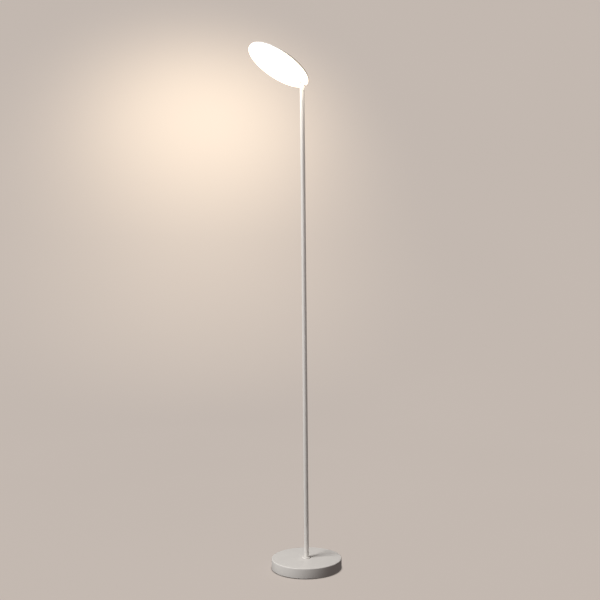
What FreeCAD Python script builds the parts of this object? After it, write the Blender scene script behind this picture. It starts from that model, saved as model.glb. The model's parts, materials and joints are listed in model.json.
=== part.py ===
"""Disc-headed LED floor lamp: weighted foot, three-piece pole, swivel and tilting edge-lit head."""
import FreeCAD, Part
import math
import os
import re
import Sketcher
from FreeCAD import Vector

# Driving sizes in millimetres, angles in degrees and plain counts
SIZES = {
    # Foot: pressed cover over a cast weight, closed by a plate and a rubber pad
    "base_diameter": 240.0,
    "base_height": 35.0,
    "base_edge_radius": 2.5,
    "cover_wall": 1.5,
    "pad_thickness": 2.0,
    "pad_inset": 5.0,
    "pad_hole_play": 1.0,
    "plate_thickness": 1.5,
    "plate_gap": 0.3,
    "weight_gap": 8.5,
    "weight_chamfer": 2.0,
    "nut_recess_diameter": 34.0,
    "recess_roof": 6.0,
    "lug_diameter": 16.0,
    "lug_circle": 120.0,
    "plate_screw_count": 4,
    "plate_screw_angle": 45.0,
    "plate_screw_diameter": 4.0,
    "plate_screw_head": 8.0,
    "plate_screw_head_height": 1.5,
    "plate_screw_length": 9.0,
    # Hollow stud, collar, washers and nut that clamp the pole to the foot
    "stud_diameter": 10.0,
    "stud_bore": 6.0,
    "stud_reach": 20.0,
    "stud_tail": 1.5,
    "collar_diameter": 28.0,
    "collar_height": 3.5,
    "collar_edge_radius": 1.2,
    "foot_washer_diameter": 30.0,
    "foot_washer_thickness": 1.5,
    "lock_washer_diameter": 18.0,
    "lock_washer_thickness": 2.0,
    "lock_washer_split": 1.0,
    "foot_nut_width": 17.0,
    "foot_nut_height": 6.0,
    # Inlet in the back of the foot
    "inlet_height": 9.5,
    "inlet_flange_diameter": 11.0,
    "inlet_flange_thickness": 1.5,
    "inlet_barrel_diameter": 8.0,
    "inlet_barrel_length": 16.0,
    "inlet_bore": 6.0,
    "inlet_bore_depth": 10.0,
    "inlet_pin_diameter": 2.1,
    "inlet_pin_recess": 0.7,
    "inlet_pin_root": 4.0,
    "inlet_pin_root_diameter": 1.6,
    "inlet_nut_width": 11.0,
    "inlet_nut_height": 2.5,
    "inlet_seat_gap": 0.2,
    # Driver in the space under the weight
    "driver_width": 60.0,
    "driver_depth": 34.0,
    "driver_height": 11.0,
    "driver_room": 1.0,
    "driver_wall": 1.5,
    "inlet_run": 15.0,
    "driver_lip": 1.0,
    "board_thickness": 1.6,
    "board_margin": 1.5,
    "post_diameter": 4.0,
    "coil_width": 12.0,
    "coil_height": 3.6,
    "capacitor_diameter": 8.0,
    "capacitor_height": 3.4,
    "chip_package_width": 6.0,
    "chip_package_height": 1.5,
    "lead_diameter": 2.2,
    "lead_play": 0.3,
    "lead_bend_radius": 9.0,
    "lead_overlap": 5.0,
    "clip_gap": 17.0,
    "clip_width": 8.0,
    "clip_wall": 1.4,
    # Pole of three equal tubes screwed end to end
    "pole_diameter": 16.0,
    "pole_wall": 1.2,
    "pole_edge_chamfer": 0.3,
    "pole_section_count": 3,
    "hinge_height": 1663.0,
    "insert_length": 24.0,
    "joiner_grip": 20.0,
    "joiner_bore": 5.0,
    # Swivel between the pole and the knuckle
    "swivel_drop": 30.0,
    "running_gap": 0.3,
    "bearing_gap": 0.05,
    "fit_gap": 0.1,
    "bush_flange": 0.8,
    "bush_length": 16.0,
    "spigot_diameter": 10.0,
    "spigot_thread": 8.0,
    "knuckle_bore": 4.0,
    "stop_track_diameter": 12.2,
    "stop_track_depth": 2.2,
    "stop_rib_width": 3.0,
    "stop_pin_diameter": 2.0,
    "stop_pin_root": 1.5,
    "spring_washer_thickness": 1.0,
    "swivel_nut_height": 4.0,
    "swivel_nut_slot": 2.0,
    # Tilt hinge in the notch of the head
    "head_tilt": 32.0,
    "hinge_inset": 16.0,
    "notch_width": 17.0,
    "notch_back_gap": 0.7,
    "notch_wall": 1.2,
    "notch_corner_radius": 1.5,
    "spotface_diameter": 9.4,
    "spotface_depth": 1.6,
    "friction_washer_diameter": 9.0,
    "axle_diameter": 4.0,
    "axle_bore": 2.6,
    "axle_flange_diameter": 5.0,
    "axle_flange_thickness": 1.0,
    "axle_window_length": 6.8,
    "axle_window_width": 2.6,
    "knuckle_lead_bend": 4.0,
    "tension_washer_thickness": 0.6,
    "tension_screw_head": 5.0,
    "tension_screw_head_height": 1.5,
    "tension_screw_diameter": 2.5,
    "tension_screw_length": 5.0,
    "cheek_width": 8.0,
    "block_front_gap": 0.1,
    "block_toe": 18.0,
    "block_heel": 10.5,
    "block_stud_diameter": 3.0,
    "block_stud_toe": 13.5,
    "block_stud_heel": 6.8,
    "block_nut_width": 5.5,
    "block_nut_height": 1.8,
    "block_nut_recess": 2.0,
    # Edge-lit head: shallow housing, foam, reflector, light guide and an opal face with a rim
    "head_diameter": 230.0,
    "head_thickness": 8.0,
    "head_wall": 1.5,
    "head_back": 1.0,
    "head_edge_radius": 2.0,
    "face_thickness": 1.2,
    "face_rim_height": 3.6,
    "face_edge_radius": 0.8,
    "face_tongue_height": 0.8,
    "face_tongue_thickness": 0.7,
    "guide_thickness": 2.0,
    "guide_gap": 0.6,
    "reflector_thickness": 0.3,
    "bay_width": 56.0,
    "bay_depth": 20.0,
    "strip_width": 3.5,
    "strip_thickness": 0.3,
    "strip_gap_width": 45.0,
    "led_count": 48,
    "led_first_angle": 15.0,
    "led_depth": 1.2,
    "led_width": 2.8,
    "led_height": 1.4,
    "head_lead_run": 1.0,
    "head_lead_bend": 4.0,
    # Overrun of every cut past the surface that it opens
    "cut_overrun": 2.0,
}

# Places that follow from the sizes, written as sheet formulas
PLACES = {
    "base_radius": "base_diameter / 2",
    "cover_inside": "base_radius - cover_wall",
    "ceiling": "base_height - cover_wall",
    "pad_outside": "base_radius - pad_inset",
    "plate_top": "pad_thickness + plate_thickness",
    "plate_radius": "cover_inside - plate_gap",
    "weight_radius": "cover_inside - weight_gap",
    "weight_bottom": "plate_top + driver_height + driver_room",
    "recess_top": "ceiling - recess_roof",
    "foot_washer_bottom": "recess_top - foot_washer_thickness",
    "lock_washer_bottom": "foot_washer_bottom - lock_washer_thickness",
    "foot_nut_bottom": "lock_washer_bottom - foot_nut_height",
    "stud_bottom": "foot_nut_bottom - stud_tail",
    "stud_top": "base_height + stud_reach",
    "stud_hole": "stud_diameter + 2 * fit_gap",
    "inlet_front": "base_radius + inlet_flange_thickness",
    "inlet_back": "base_radius - inlet_barrel_length",
    "inlet_floor": "inlet_front - inlet_bore_depth",
    "driver_offset": "inlet_back - inlet_run - driver_depth / 2",
    "driver_front": "driver_offset - driver_depth / 2",
    "driver_back": "driver_offset + driver_depth / 2",
    "driver_rim": "driver_height - driver_wall",
    "lead_rise": "driver_wall + lead_play / 2 + lead_diameter / 2",
    "lead_floor": "plate_top + lead_rise",
    "board_bottom": "driver_wall + lead_diameter + lead_play",
    "board_top": "board_bottom + board_thickness",
    "board_width": "driver_width - 2 * driver_wall - 2 * board_margin",
    "board_depth": "driver_depth - 2 * driver_wall - 2 * board_margin",
    "lead_hole": "lead_diameter + lead_play",
    "clip_offset": "lead_bend_radius + clip_gap + clip_width / 2",
    "pole_bore": "pole_diameter - 2 * pole_wall",
    "shoulder": "hinge_height - swivel_drop",
    "bush_top": "shoulder - running_gap",
    "pole_top": "bush_top - bush_flange",
    "pole_length": "pole_top - base_height",
    "section_length": "pole_length / pole_section_count",
    "bush_bottom": "pole_top - bush_length",
    "spigot_end": "bush_bottom - running_gap",
    "swivel_nut_top": "spigot_end - spring_washer_thickness",
    "swivel_end": "swivel_nut_top - swivel_nut_height",
    "swivel_nut_diameter": "pole_bore - 2 * running_gap",
    "stop_pin_height": "bush_top - stop_track_depth / 2 - bush_flange / 2",
    "stop_pin_reach": "stop_track_diameter / 2 - 1.5 * running_gap",
    "knuckle_cheek": "pole_diameter / 2 - spotface_depth",
    "knuckle_nose": "pole_diameter / 2",
    "notch_back": "pole_diameter / 2 + notch_back_gap",
    "notch_half": "notch_width / 2",
    "notch_outside": "notch_half + notch_wall",
    "notch_heel": "notch_back + notch_wall",
    "notch_mouth": "sqrt(head_diameter ^ 2 / 4 - notch_outside ^ 2) - fit_gap",
    "friction_washer_face": "notch_half - running_gap",
    "block_inside": "notch_outside + fit_gap",
    "cheek_face": "block_inside + cheek_width",
    "block_front": "-(face_back - block_front_gap)",
    "axle_flange_face": "cheek_face + running_gap",
    "axle_end": "axle_flange_face + axle_flange_thickness",
    "tension_washer_face": "cheek_face + running_gap",
    "tension_head_face": "tension_washer_face + tension_washer_thickness",
    "head_radius": "head_diameter / 2",
    "head_reach": "head_radius - hinge_inset",
    "head_inside": "head_radius - head_wall",
    "half_thick": "head_thickness / 2",
    "back_inside": "half_thick - head_back",
    "face_back": "half_thick - face_thickness",
    "face_shoulder": "half_thick - face_rim_height",
    "tongue_top": "face_tongue_height - face_shoulder",
    "tongue_outside": "head_inside + face_tongue_thickness",
    "guide_back": "face_back - guide_thickness",
    "reflector_back": "guide_back - reflector_thickness",
    "strip_outside": "head_inside - fit_gap",
    "strip_inside": "strip_outside - strip_thickness",
    "led_outside": "sqrt(strip_inside ^ 2 - led_width ^ 2 / 4)",
    "led_inside": "strip_inside - led_depth",
    "guide_radius": "led_inside - guide_gap",
    "strip_front": "face_back - fit_gap",
    "head_lead_start": "axle_end + running_gap",
    "head_lead_side": "head_lead_start + head_lead_run + head_lead_bend",
    "head_lead_edge": "head_lead_side + lead_diameter / 2",
    "head_lead_reach": "sqrt(strip_inside ^ 2 - head_lead_edge ^ 2) - head_reach - fit_gap",
}

# Names of the three pole sections, from the floor up
SECTIONS = ("lower", "middle", "upper")

document = FreeCAD.newDocument("FloorLamp")
sheet = document.addObject("Spreadsheet::Sheet", "Sizes")


# Sheet and formulas

def fill_sheet():
    """Write every driving size into the sheet under its own alias."""
    for row, (name, number) in enumerate(SIZES.items(), start=1):
        sheet.set(f"A{row}", name)
        sheet.set(f"B{row}", str(number))
        sheet.setAlias(f"B{row}", name)
    document.recompute()


def formula(text):
    """Point each size name of a formula at the sheet and open up each place name."""
    def swap(match):
        word = match.group()
        if word in PLACES:
            return f"({formula(PLACES[word])})"
        return f"Sizes.{word}" if word in SIZES else word
    return re.sub(r"[a-z][a-z_]+", swap, text)


def value(text):
    """Work out a formula as a plain number."""
    return float(sheet.evalExpression(formula(text)))


# Sketches

def sketch_on(body, role, name, offset="0"):
    """Put a sketch on an origin plane of its body, moved along the normal by an offset."""
    sketch = body.newObject("Sketcher::SketchObject", f"{body.Name}_{name}")
    plane = next(item for item in body.Origin.OriginFeatures if item.Role == role)
    sketch.AttachmentSupport = (plane, [""])
    sketch.MapMode = "FlatFace"
    if offset != "0":
        sketch.setExpression("AttachmentOffset.Base.z", formula(offset))
    return sketch


def hold_point(sketch, geometry, end, across, up):
    """Tie one point of a sketch to two formulas of the sheet, or to its own axis -1 or -2 at nought."""
    for kind, text, axis in (("DistanceX", across, -2), ("DistanceY", up, -1)):
        if text == "0":
            sketch.addConstraint(Sketcher.Constraint("PointOnObject", geometry, end, axis))
        else:
            index = sketch.addConstraint(Sketcher.Constraint(kind, geometry, end, value(text)))
            sketch.setExpression(f"Constraints[{index}]", formula(text))


def draw_outline(sketch, corners):
    """Draw a closed outline of straight edges through the given corners."""
    first = sketch.GeometryCount
    points = [Vector(value(across), value(up), 0) for across, up in corners]
    for start, end in zip(points, points[1:] + points[:1]):
        sketch.addGeometry(Part.LineSegment(start, end))
    for index, (across, up) in enumerate(corners):
        following = first + (index + 1) % len(corners)
        sketch.addConstraint(Sketcher.Constraint("Coincident", first + index, 2, following, 1))
        hold_point(sketch, first + index, 1, across, up)


def draw_box(sketch, left, right, low, high):
    """Draw a rectangle between two pairs of formulas."""
    draw_outline(sketch, [(left, low), (right, low), (right, high), (left, high)])


def draw_circle(sketch, across, up, diameter):
    """Draw a circle with a held centre and a held diameter."""
    index = sketch.GeometryCount
    centre = Vector(value(across), value(up), 0)
    sketch.addGeometry(Part.Circle(centre, Vector(0, 0, 1), value(diameter) / 2))
    hold_point(sketch, index, 3, across, up)
    size = sketch.addConstraint(Sketcher.Constraint("Diameter", index, value(diameter)))
    sketch.setExpression(f"Constraints[{size}]", formula(diameter))


def draw_hexagon(sketch, width):
    """Draw a hexagon about the sketch's origin with its width across the flats."""
    reach = f"{width} / sqrt(3)"
    corners = []
    for turn in range(6):
        angle = 60 * turn
        up = "0" if turn in (0, 3) else f"{reach} * sin({angle})"
        corners.append((f"{reach} * cos({angle})", up))
    draw_outline(sketch, corners)


# Bodies and features

def new_body(name):
    """Start a sub-part under its own name."""
    body = document.addObject("PartDesign::Body", name)
    body.Label = name
    return body


def revolve(body, role, corners, name="turned", axis="V_Axis"):
    """Turn a closed outline once round an axis of its sketch."""
    sketch = sketch_on(body, role, f"{name}_outline")
    draw_outline(sketch, corners)
    feature = body.newObject("PartDesign::Revolution", f"{body.Name}_{name}")
    feature.Profile = sketch
    feature.ReferenceAxis = (sketch, [axis])
    feature.Angle = 360
    document.recompute()
    return feature


def turned(name, corners):
    """Make a sub-part turned about the upright axis, from radius and height formulas."""
    body = new_body(name)
    revolve(body, "XZ_Plane", corners)
    return body


def ring(name, inside, outside, low, high):
    """Make a turned ring of rectangular section."""
    return turned(name, [(inside, low), (outside, low), (outside, high), (inside, high)])


def pad(body, sketch, length, name, symmetric=False, against_normal=False):
    """Raise a sketch into solid material."""
    feature = body.newObject("PartDesign::Pad", f"{body.Name}_{name}")
    feature.Profile = sketch
    feature.setExpression("Length", formula(length))
    feature.SideType = "Symmetric" if symmetric else "One side"
    feature.Reversed = against_normal
    document.recompute()
    return feature


def pocket(body, sketch, name, length=None, along_normal=False):
    """Cut a sketch out of the body, right through or to a depth, and make sure it cuts."""
    before = body.Shape.Volume
    feature = body.newObject("PartDesign::Pocket", f"{body.Name}_{name}")
    feature.Profile = sketch
    if length is None:
        feature.SideType = "Symmetric"
        feature.Type = "ThroughAll"
    else:
        feature.setExpression("Length", formula(length))
        feature.Reversed = along_normal
    document.recompute()
    if body.Shape.Volume >= before:
        raise ValueError(f"{feature.Name} removes nothing")
    return feature


def edges_where(body, test):
    """Name the edges of a body that pass a test, leaving out those that shrink to a point."""
    edges = enumerate(body.Tip.Shape.Edges, start=1)
    return [f"Edge{number}" for number, edge in edges if not edge.Degenerated and test(edge)]


def rim_edge(radius, height):
    """Test for a round edge about the upright axis at a radius and height."""
    wanted_radius = value(radius)
    wanted_height = value(height)
    near = value("fit_gap") / 100

    def test(edge):
        centre = getattr(edge.Curve, "Center", None)
        if centre is None or abs(centre.z - wanted_height) > near:
            return False
        return abs(edge.Curve.Radius - wanted_radius) < near
    return test


def soften(body, kind, size, test, name):
    """Add a fillet or a chamfer to the edges that pass a test."""
    solid = body.Tip
    edges = edges_where(body, test)
    if not edges:
        raise ValueError(f"{body.Label} has no edge for {name}")
    feature = body.newObject(f"PartDesign::{kind}", f"{body.Name}_{name}")
    feature.Base = (solid, edges)
    feature.setExpression("Radius" if kind == "Fillet" else "Size", formula(size))
    body.Tip = feature
    document.recompute()
    return feature


def repeat_round(body, features, count, angle="360"):
    """Repeat features round the upright axis of their body."""
    axis = next(item for item in body.Origin.OriginFeatures if item.Role == "Z_Axis")
    body.AllowCompound = True
    feature = body.newObject("PartDesign::PolarPattern", f"{body.Name}_round")
    feature.Originals = features
    feature.Axis = (axis, [""])
    feature.setExpression("Angle", formula(angle))
    feature.setExpression("Occurrences", formula(count))
    body.Tip = feature
    document.recompute()
    return feature


def lift(body, height):
    """Raise a body above the floor."""
    body.setExpression("Placement.Base.z", formula(height))


def quarter_arc(centre, start, radius):
    """Give the quarter of a circle that runs anticlockwise from a start point."""
    spoke = start - centre
    angle = math.atan2(spoke.y, spoke.x)
    circle = Part.Circle(centre, Vector(0, 0, 1), radius)
    return Part.ArcOfCircle(circle, angle, angle + math.pi / 2)


def bent_lead(name, role, start, corner, end, radius, profile_role, profile_offset):
    """Make a lead of two straight runs joined by one tangent arc at a square corner."""
    body = new_body(name)
    path = sketch_on(body, role, "route")
    points = [Vector(value(across), value(up), 0) for across, up in (start, corner, end)]
    coming = (points[1] - points[0]).normalize()
    going = (points[2] - points[1]).normalize()
    bend = value(radius)
    entry = points[1] - coming * bend
    leave = points[1] + going * bend
    centre = entry + going * bend
    leftward = coming.cross(going).z > 0
    arc_start = entry if leftward else leave
    path.addGeometry(Part.LineSegment(points[0], entry))
    path.addGeometry(quarter_arc(centre, arc_start, bend))
    path.addGeometry(Part.LineSegment(leave, points[2]))
    entry_end, leave_end = (1, 2) if leftward else (2, 1)
    path.addConstraint(Sketcher.Constraint("Tangent", 0, 2, 1, entry_end))
    path.addConstraint(Sketcher.Constraint("Tangent", 1, leave_end, 2, 1))
    runs = ("Horizontal", "Vertical")
    first_run, last_run = runs if abs(coming.x) > abs(coming.y) else reversed(runs)
    path.addConstraint(Sketcher.Constraint(first_run, 0))
    path.addConstraint(Sketcher.Constraint(last_run, 2))
    size = path.addConstraint(Sketcher.Constraint("Radius", 1, bend))
    path.setExpression(f"Constraints[{size}]", formula(radius))
    hold_point(path, 0, 1, *start)
    hold_point(path, 2, 2, *end)
    profile = sketch_on(body, profile_role, "section", profile_offset)
    section_centre = ("0", start[1]) if profile_role == "XZ_Plane" else ("0", "0")
    draw_circle(profile, *section_centre, "lead_diameter")
    sweep = body.newObject("PartDesign::AdditivePipe", f"{name}_sweep")
    sweep.Profile = profile
    sweep.Spine = (path, ["Edge1", "Edge2", "Edge3"])
    document.recompute()
    length = sum(edge.Length for edge in path.Shape.Edges)
    expected = math.pi * (value("lead_diameter") / 2) ** 2 * length
    print(f"{name}: length {length:.1f} mm, bend radius {bend:.1f} mm, "
          f"volume {body.Shape.Volume:.1f} of {expected:.1f} mm3")
    return body


# Foot

def draw_plate_screw_circles(sketch, diameter):
    """Draw one circle at each place of the plate's screws."""
    for turn in range(SIZES["plate_screw_count"]):
        angle = f"(plate_screw_angle + {turn} * 360 / plate_screw_count)"
        draw_circle(sketch, f"lug_circle / 2 * cos{angle}", f"lug_circle / 2 * sin{angle}", diameter)


def make_base_cover():
    """Pressed steel cover: a shallow drum, open below, with a hole for the stud and one for the inlet."""
    body = turned("base_cover", [
        ("stud_hole / 2", "ceiling"), ("cover_inside", "ceiling"), ("cover_inside", "pad_thickness"),
        ("base_radius", "pad_thickness"), ("base_radius", "base_height"), ("stud_hole / 2", "base_height")])
    soften(body, "Fillet", "base_edge_radius", rim_edge("base_radius", "base_height"), "edge")
    hole = sketch_on(body, "XZ_Plane", "inlet_hole", "-base_radius - cut_overrun")
    draw_circle(hole, "0", "inlet_height", "inlet_barrel_diameter + 2 * fit_gap")
    pocket(body, hole, "inlet_hole_cut", "cover_wall + 2 * cut_overrun", along_normal=True)
    return body


def make_base_weight():
    """Cast iron disc with a recess for the nut and four lugs that reach down to the plate."""
    body = turned("base_weight", [
        ("stud_hole / 2", "recess_top"), ("nut_recess_diameter / 2", "recess_top"),
        ("nut_recess_diameter / 2", "weight_bottom"), ("weight_radius", "weight_bottom"),
        ("weight_radius", "ceiling"), ("stud_hole / 2", "ceiling")])
    soften(body, "Chamfer", "weight_chamfer", rim_edge("weight_radius", "ceiling"), "top_edge")
    soften(body, "Chamfer", "weight_chamfer", rim_edge("weight_radius", "weight_bottom"), "low_edge")
    lug_sketch = sketch_on(body, "XY_Plane", "lug", "plate_top")
    draw_circle(lug_sketch, "lug_circle / 2 * cos(plate_screw_angle)",
                "lug_circle / 2 * sin(plate_screw_angle)", "lug_diameter")
    lug = pad(body, lug_sketch, "weight_bottom - plate_top + fit_gap", "lug")
    repeat_round(body, [lug], "plate_screw_count")
    hole_sketch = sketch_on(body, "XY_Plane", "thread", "plate_top")
    draw_plate_screw_circles(hole_sketch, "plate_screw_diameter + 2 * fit_gap")
    pocket(body, hole_sketch, "threads", "plate_screw_length", along_normal=True)
    return body


def make_base_plate():
    """Steel plate that closes the cover from below, with four screw holes."""
    body = turned("base_plate", [
        ("0", "pad_thickness"), ("plate_radius", "pad_thickness"),
        ("plate_radius", "plate_top"), ("0", "plate_top")])
    holes = sketch_on(body, "XY_Plane", "screw_holes")
    draw_plate_screw_circles(holes, "plate_screw_diameter + 2 * fit_gap")
    pocket(body, holes, "screw_hole_cuts")
    return body


def make_base_pad():
    """Rubber disc stuck under the plate, set in from the cover's edge, with a hole for each screw head."""
    body = turned("base_pad", [
        ("0", "0"), ("pad_outside", "0"), ("pad_outside", "pad_thickness"), ("0", "pad_thickness")])
    holes = sketch_on(body, "XY_Plane", "head_holes")
    draw_plate_screw_circles(holes, "plate_screw_head + pad_hole_play")
    pocket(body, holes, "head_hole_cuts")
    return body


def make_base_plate_screws():
    """Four pan-head screws from the plate up into the lugs of the weight."""
    body = new_body("base_plate_screws")
    centre = ("lug_circle / 2 * cos(plate_screw_angle)", "lug_circle / 2 * sin(plate_screw_angle)")
    head_sketch = sketch_on(body, "XY_Plane", "head", "pad_thickness")
    draw_circle(head_sketch, *centre, "plate_screw_head")
    head = pad(body, head_sketch, "plate_screw_head_height", "head_pad", against_normal=True)
    shank_sketch = sketch_on(body, "XY_Plane", "shank", "pad_thickness")
    draw_circle(shank_sketch, *centre, "plate_screw_diameter")
    shank = pad(body, shank_sketch, "plate_screw_length + plate_thickness - fit_gap", "shank_pad")
    repeat_round(body, [head, shank], "plate_screw_count")
    return body


def make_foot_collar():
    """Small turned collar that covers the joint of pole and foot."""
    body = ring("foot_collar", "pole_diameter / 2 + fit_gap", "collar_diameter / 2",
                "base_height", "base_height + collar_height")
    soften(body, "Fillet", "collar_edge_radius",
           rim_edge("collar_diameter / 2", "base_height + collar_height"), "edge")
    return body


def make_foot_stud():
    """Hollow threaded stud that ties weight, cover and pole together and passes the lead."""
    return ring("foot_stud", "stud_bore / 2", "stud_diameter / 2", "stud_bottom", "stud_top")


def make_foot_washer():
    """Wide washer in the weight's recess."""
    return ring("foot_washer", "stud_hole / 2", "foot_washer_diameter / 2",
                "foot_washer_bottom", "recess_top")


def make_foot_lock_washer():
    """Split spring washer between the nut and the wide washer."""
    body = ring("foot_lock_washer", "stud_hole / 2", "lock_washer_diameter / 2",
                "lock_washer_bottom", "foot_washer_bottom")
    split = sketch_on(body, "XY_Plane", "split", "lock_washer_bottom")
    draw_box(split, "0", "lock_washer_diameter", "-lock_washer_split / 2", "lock_washer_split / 2")
    pocket(body, split, "split_cut")
    return body


def make_foot_nut():
    """Hexagon nut on the stud."""
    body = new_body("foot_nut")
    outline = sketch_on(body, "XY_Plane", "hexagon", "foot_nut_bottom")
    draw_hexagon(outline, "foot_nut_width")
    draw_circle(outline, "0", "0", "stud_hole")
    pad(body, outline, "foot_nut_height", "block")
    return body


# Inlet and driver

def make_dc_inlet():
    """Round low-voltage inlet: flange outside the cover, barrel inside, open bore to the back."""
    body = new_body("dc_inlet")
    revolve(body, "YZ_Plane", [
        ("inlet_front", "inlet_bore / 2"), ("inlet_front", "inlet_flange_diameter / 2"),
        ("base_radius", "inlet_flange_diameter / 2"), ("base_radius", "inlet_barrel_diameter / 2"),
        ("inlet_back", "inlet_barrel_diameter / 2"), ("inlet_back", "0"),
        ("inlet_floor - inlet_pin_root", "0"),
        ("inlet_floor - inlet_pin_root", "inlet_pin_root_diameter / 2"),
        ("inlet_floor", "inlet_pin_root_diameter / 2"), ("inlet_floor", "inlet_bore / 2")], axis="H_Axis")
    lift(body, "inlet_height")
    return body


def make_dc_centre_pin():
    """Centre contact of the inlet, with a thinner root in the moulding."""
    body = new_body("dc_centre_pin")
    root = "inlet_floor - inlet_pin_root"
    tip = "inlet_front - inlet_pin_recess"
    revolve(body, "YZ_Plane", [
        (root, "0"), (tip, "0"), (tip, "inlet_pin_diameter / 2"), ("inlet_floor", "inlet_pin_diameter / 2"),
        ("inlet_floor", "inlet_pin_root_diameter / 2"), (root, "inlet_pin_root_diameter / 2")],
        axis="H_Axis")
    lift(body, "inlet_height")
    return body


def make_dc_inlet_nut():
    """Thin nut that holds the inlet from inside the cover."""
    body = new_body("dc_inlet_nut")
    outline = sketch_on(body, "XZ_Plane", "hexagon", "-(cover_inside - inlet_seat_gap)")
    draw_hexagon(outline, "inlet_nut_width")
    draw_circle(outline, "0", "0", "inlet_barrel_diameter + 2 * fit_gap")
    pad(body, outline, "inlet_nut_height", "block")
    lift(body, "inlet_height")
    return body


def make_inlet_lead():
    """Short lead from the inlet to the driver board."""
    body = new_body("inlet_lead")
    start = "driver_offset + board_depth / 2 + lead_play"
    revolve(body, "YZ_Plane", [
        (start, "0"), ("inlet_back", "0"), ("inlet_back", "lead_diameter / 2"),
        (start, "lead_diameter / 2")], axis="H_Axis")
    lift(body, "inlet_height")
    return body


def driver_box(body, name, shrink, low, height):
    """Raise a rectangle of the driver's plan, drawn in by a margin, from a height."""
    sketch = sketch_on(body, "XY_Plane", f"{name}_plan", low)
    side = f"(driver_width / 2 - {shrink})"
    draw_box(sketch, f"-{side}", side, f"driver_front + {shrink}", f"driver_back - {shrink}")
    return pad(body, sketch, height, name)


def post_centres():
    """Give the four places of the posts under the driver board."""
    side = "(board_width / 2 - post_diameter / 2)"
    end = "(board_depth / 2 - post_diameter / 2)"
    return [(f"{across}{side}", f"driver_offset {up} {end}") for across in ("", "-") for up in "+-"]


def make_driver_case():
    """Moulded tray of the driver with four posts and a hole for each lead."""
    body = new_body("driver_case")
    driver_box(body, "block", "0", "0", "driver_rim")
    hollow = sketch_on(body, "XY_Plane", "hollow", "driver_wall")
    side = "(driver_width / 2 - driver_wall)"
    draw_box(hollow, f"-{side}", side, "driver_front + driver_wall", "driver_back - driver_wall")
    pocket(body, hollow, "hollow_cut", "driver_height", along_normal=True)
    posts = sketch_on(body, "XY_Plane", "posts", "driver_wall")
    for across, up in post_centres():
        draw_circle(posts, across, up, "post_diameter")
    pad(body, posts, "board_bottom - driver_wall", "post_pads")
    way_out = sketch_on(body, "XZ_Plane", "way_out", "-(driver_front - cut_overrun)")
    draw_circle(way_out, "0", "lead_rise", "lead_hole")
    pocket(body, way_out, "way_out_cut", "driver_wall + 2 * cut_overrun")
    way_in = sketch_on(body, "XZ_Plane", "way_in", "-(driver_back + cut_overrun)")
    draw_circle(way_in, "0", "inlet_height - plate_top", "lead_hole")
    pocket(body, way_in, "way_in_cut", "driver_wall + 2 * cut_overrun", along_normal=True)
    lift(body, "plate_top")
    return body


def make_driver_lid():
    """Flat lid of the driver with a lip inside the tray."""
    body = new_body("driver_lid")
    driver_box(body, "block", "0", "driver_rim", "driver_wall")
    lip = sketch_on(body, "XY_Plane", "lip", "driver_rim")
    inner = "(driver_width / 2 - driver_wall - fit_gap)"
    front = "(driver_front + driver_wall + fit_gap)"
    back = "(driver_back - driver_wall - fit_gap)"
    draw_box(lip, f"-{inner}", inner, front, back)
    draw_box(lip, f"-{inner} + driver_lip", f"{inner} - driver_lip", f"{front} + driver_lip",
             f"{back} - driver_lip")
    pad(body, lip, "driver_lip", "lip_pad", against_normal=True)
    lift(body, "plate_top")
    return body


def make_driver_board():
    """Circuit board of the driver on its four posts."""
    body = new_body("driver_board")
    outline = sketch_on(body, "XY_Plane", "plan", "board_bottom")
    draw_box(outline, "-board_width / 2", "board_width / 2", "driver_offset - board_depth / 2",
             "driver_offset + board_depth / 2")
    pad(body, outline, "board_thickness", "block")
    lift(body, "plate_top")
    return body


def make_driver_components():
    """Coil, two capacitors and the switching chip soldered to the driver board."""
    body = new_body("driver_components")
    body.AllowCompound = True
    coil = sketch_on(body, "XY_Plane", "coil", "board_top")
    draw_box(coil, "-coil_width / 2", "coil_width / 2", "driver_offset - coil_width / 2",
             "driver_offset + coil_width / 2")
    pad(body, coil, "coil_height", "coil_pad")
    cans = sketch_on(body, "XY_Plane", "cans", "board_top")
    for side in ("", "-"):
        draw_circle(cans, f"{side}(coil_width / 2 + capacitor_diameter)", "driver_offset",
                    "capacitor_diameter")
    pad(body, cans, "capacitor_height", "can_pads")
    chip = sketch_on(body, "XY_Plane", "chip", "board_top")
    draw_box(chip, "coil_width", "coil_width + chip_package_width",
             "driver_offset + coil_width / 2", "driver_offset + coil_width / 2 + chip_package_width / 2")
    pad(body, chip, "chip_package_height", "chip_pad")
    lift(body, "plate_top")
    return body


def make_lead_clip():
    """Saddle on the plate that holds the outgoing lead."""
    body = new_body("lead_clip")
    outline = sketch_on(body, "XZ_Plane", "arch", "-clip_offset")
    half = "(lead_hole / 2 + clip_wall)"
    draw_box(outline, f"-{half}", half, "0", "lead_rise + lead_hole / 2 + clip_wall")
    draw_circle(outline, "0", "lead_rise", "lead_hole")
    pad(body, outline, "clip_width", "block", symmetric=True)
    lift(body, "plate_top")
    return body


# Pole

def make_pole_section(index, section):
    """One of the three equal tubes, with broken outer edges at both ends."""
    low = f"base_height + {index} * section_length"
    high = f"base_height + {index + 1} * section_length"
    body = ring(f"pole_{section}", "pole_bore / 2", "pole_diameter / 2", low, high)
    soften(body, "Chamfer", "pole_edge_chamfer", rim_edge("pole_diameter / 2", high), "top_edge")
    if index > 0:
        soften(body, "Chamfer", "pole_edge_chamfer", rim_edge("pole_diameter / 2", low), "low_edge")
    return body


def make_pole_insert(index, section):
    """Threaded insert in the lower end of one tube."""
    low = f"base_height + {index} * section_length"
    return ring(f"pole_insert_{section}", "stud_hole / 2", "pole_bore / 2", low, f"{low} + insert_length")


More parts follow.
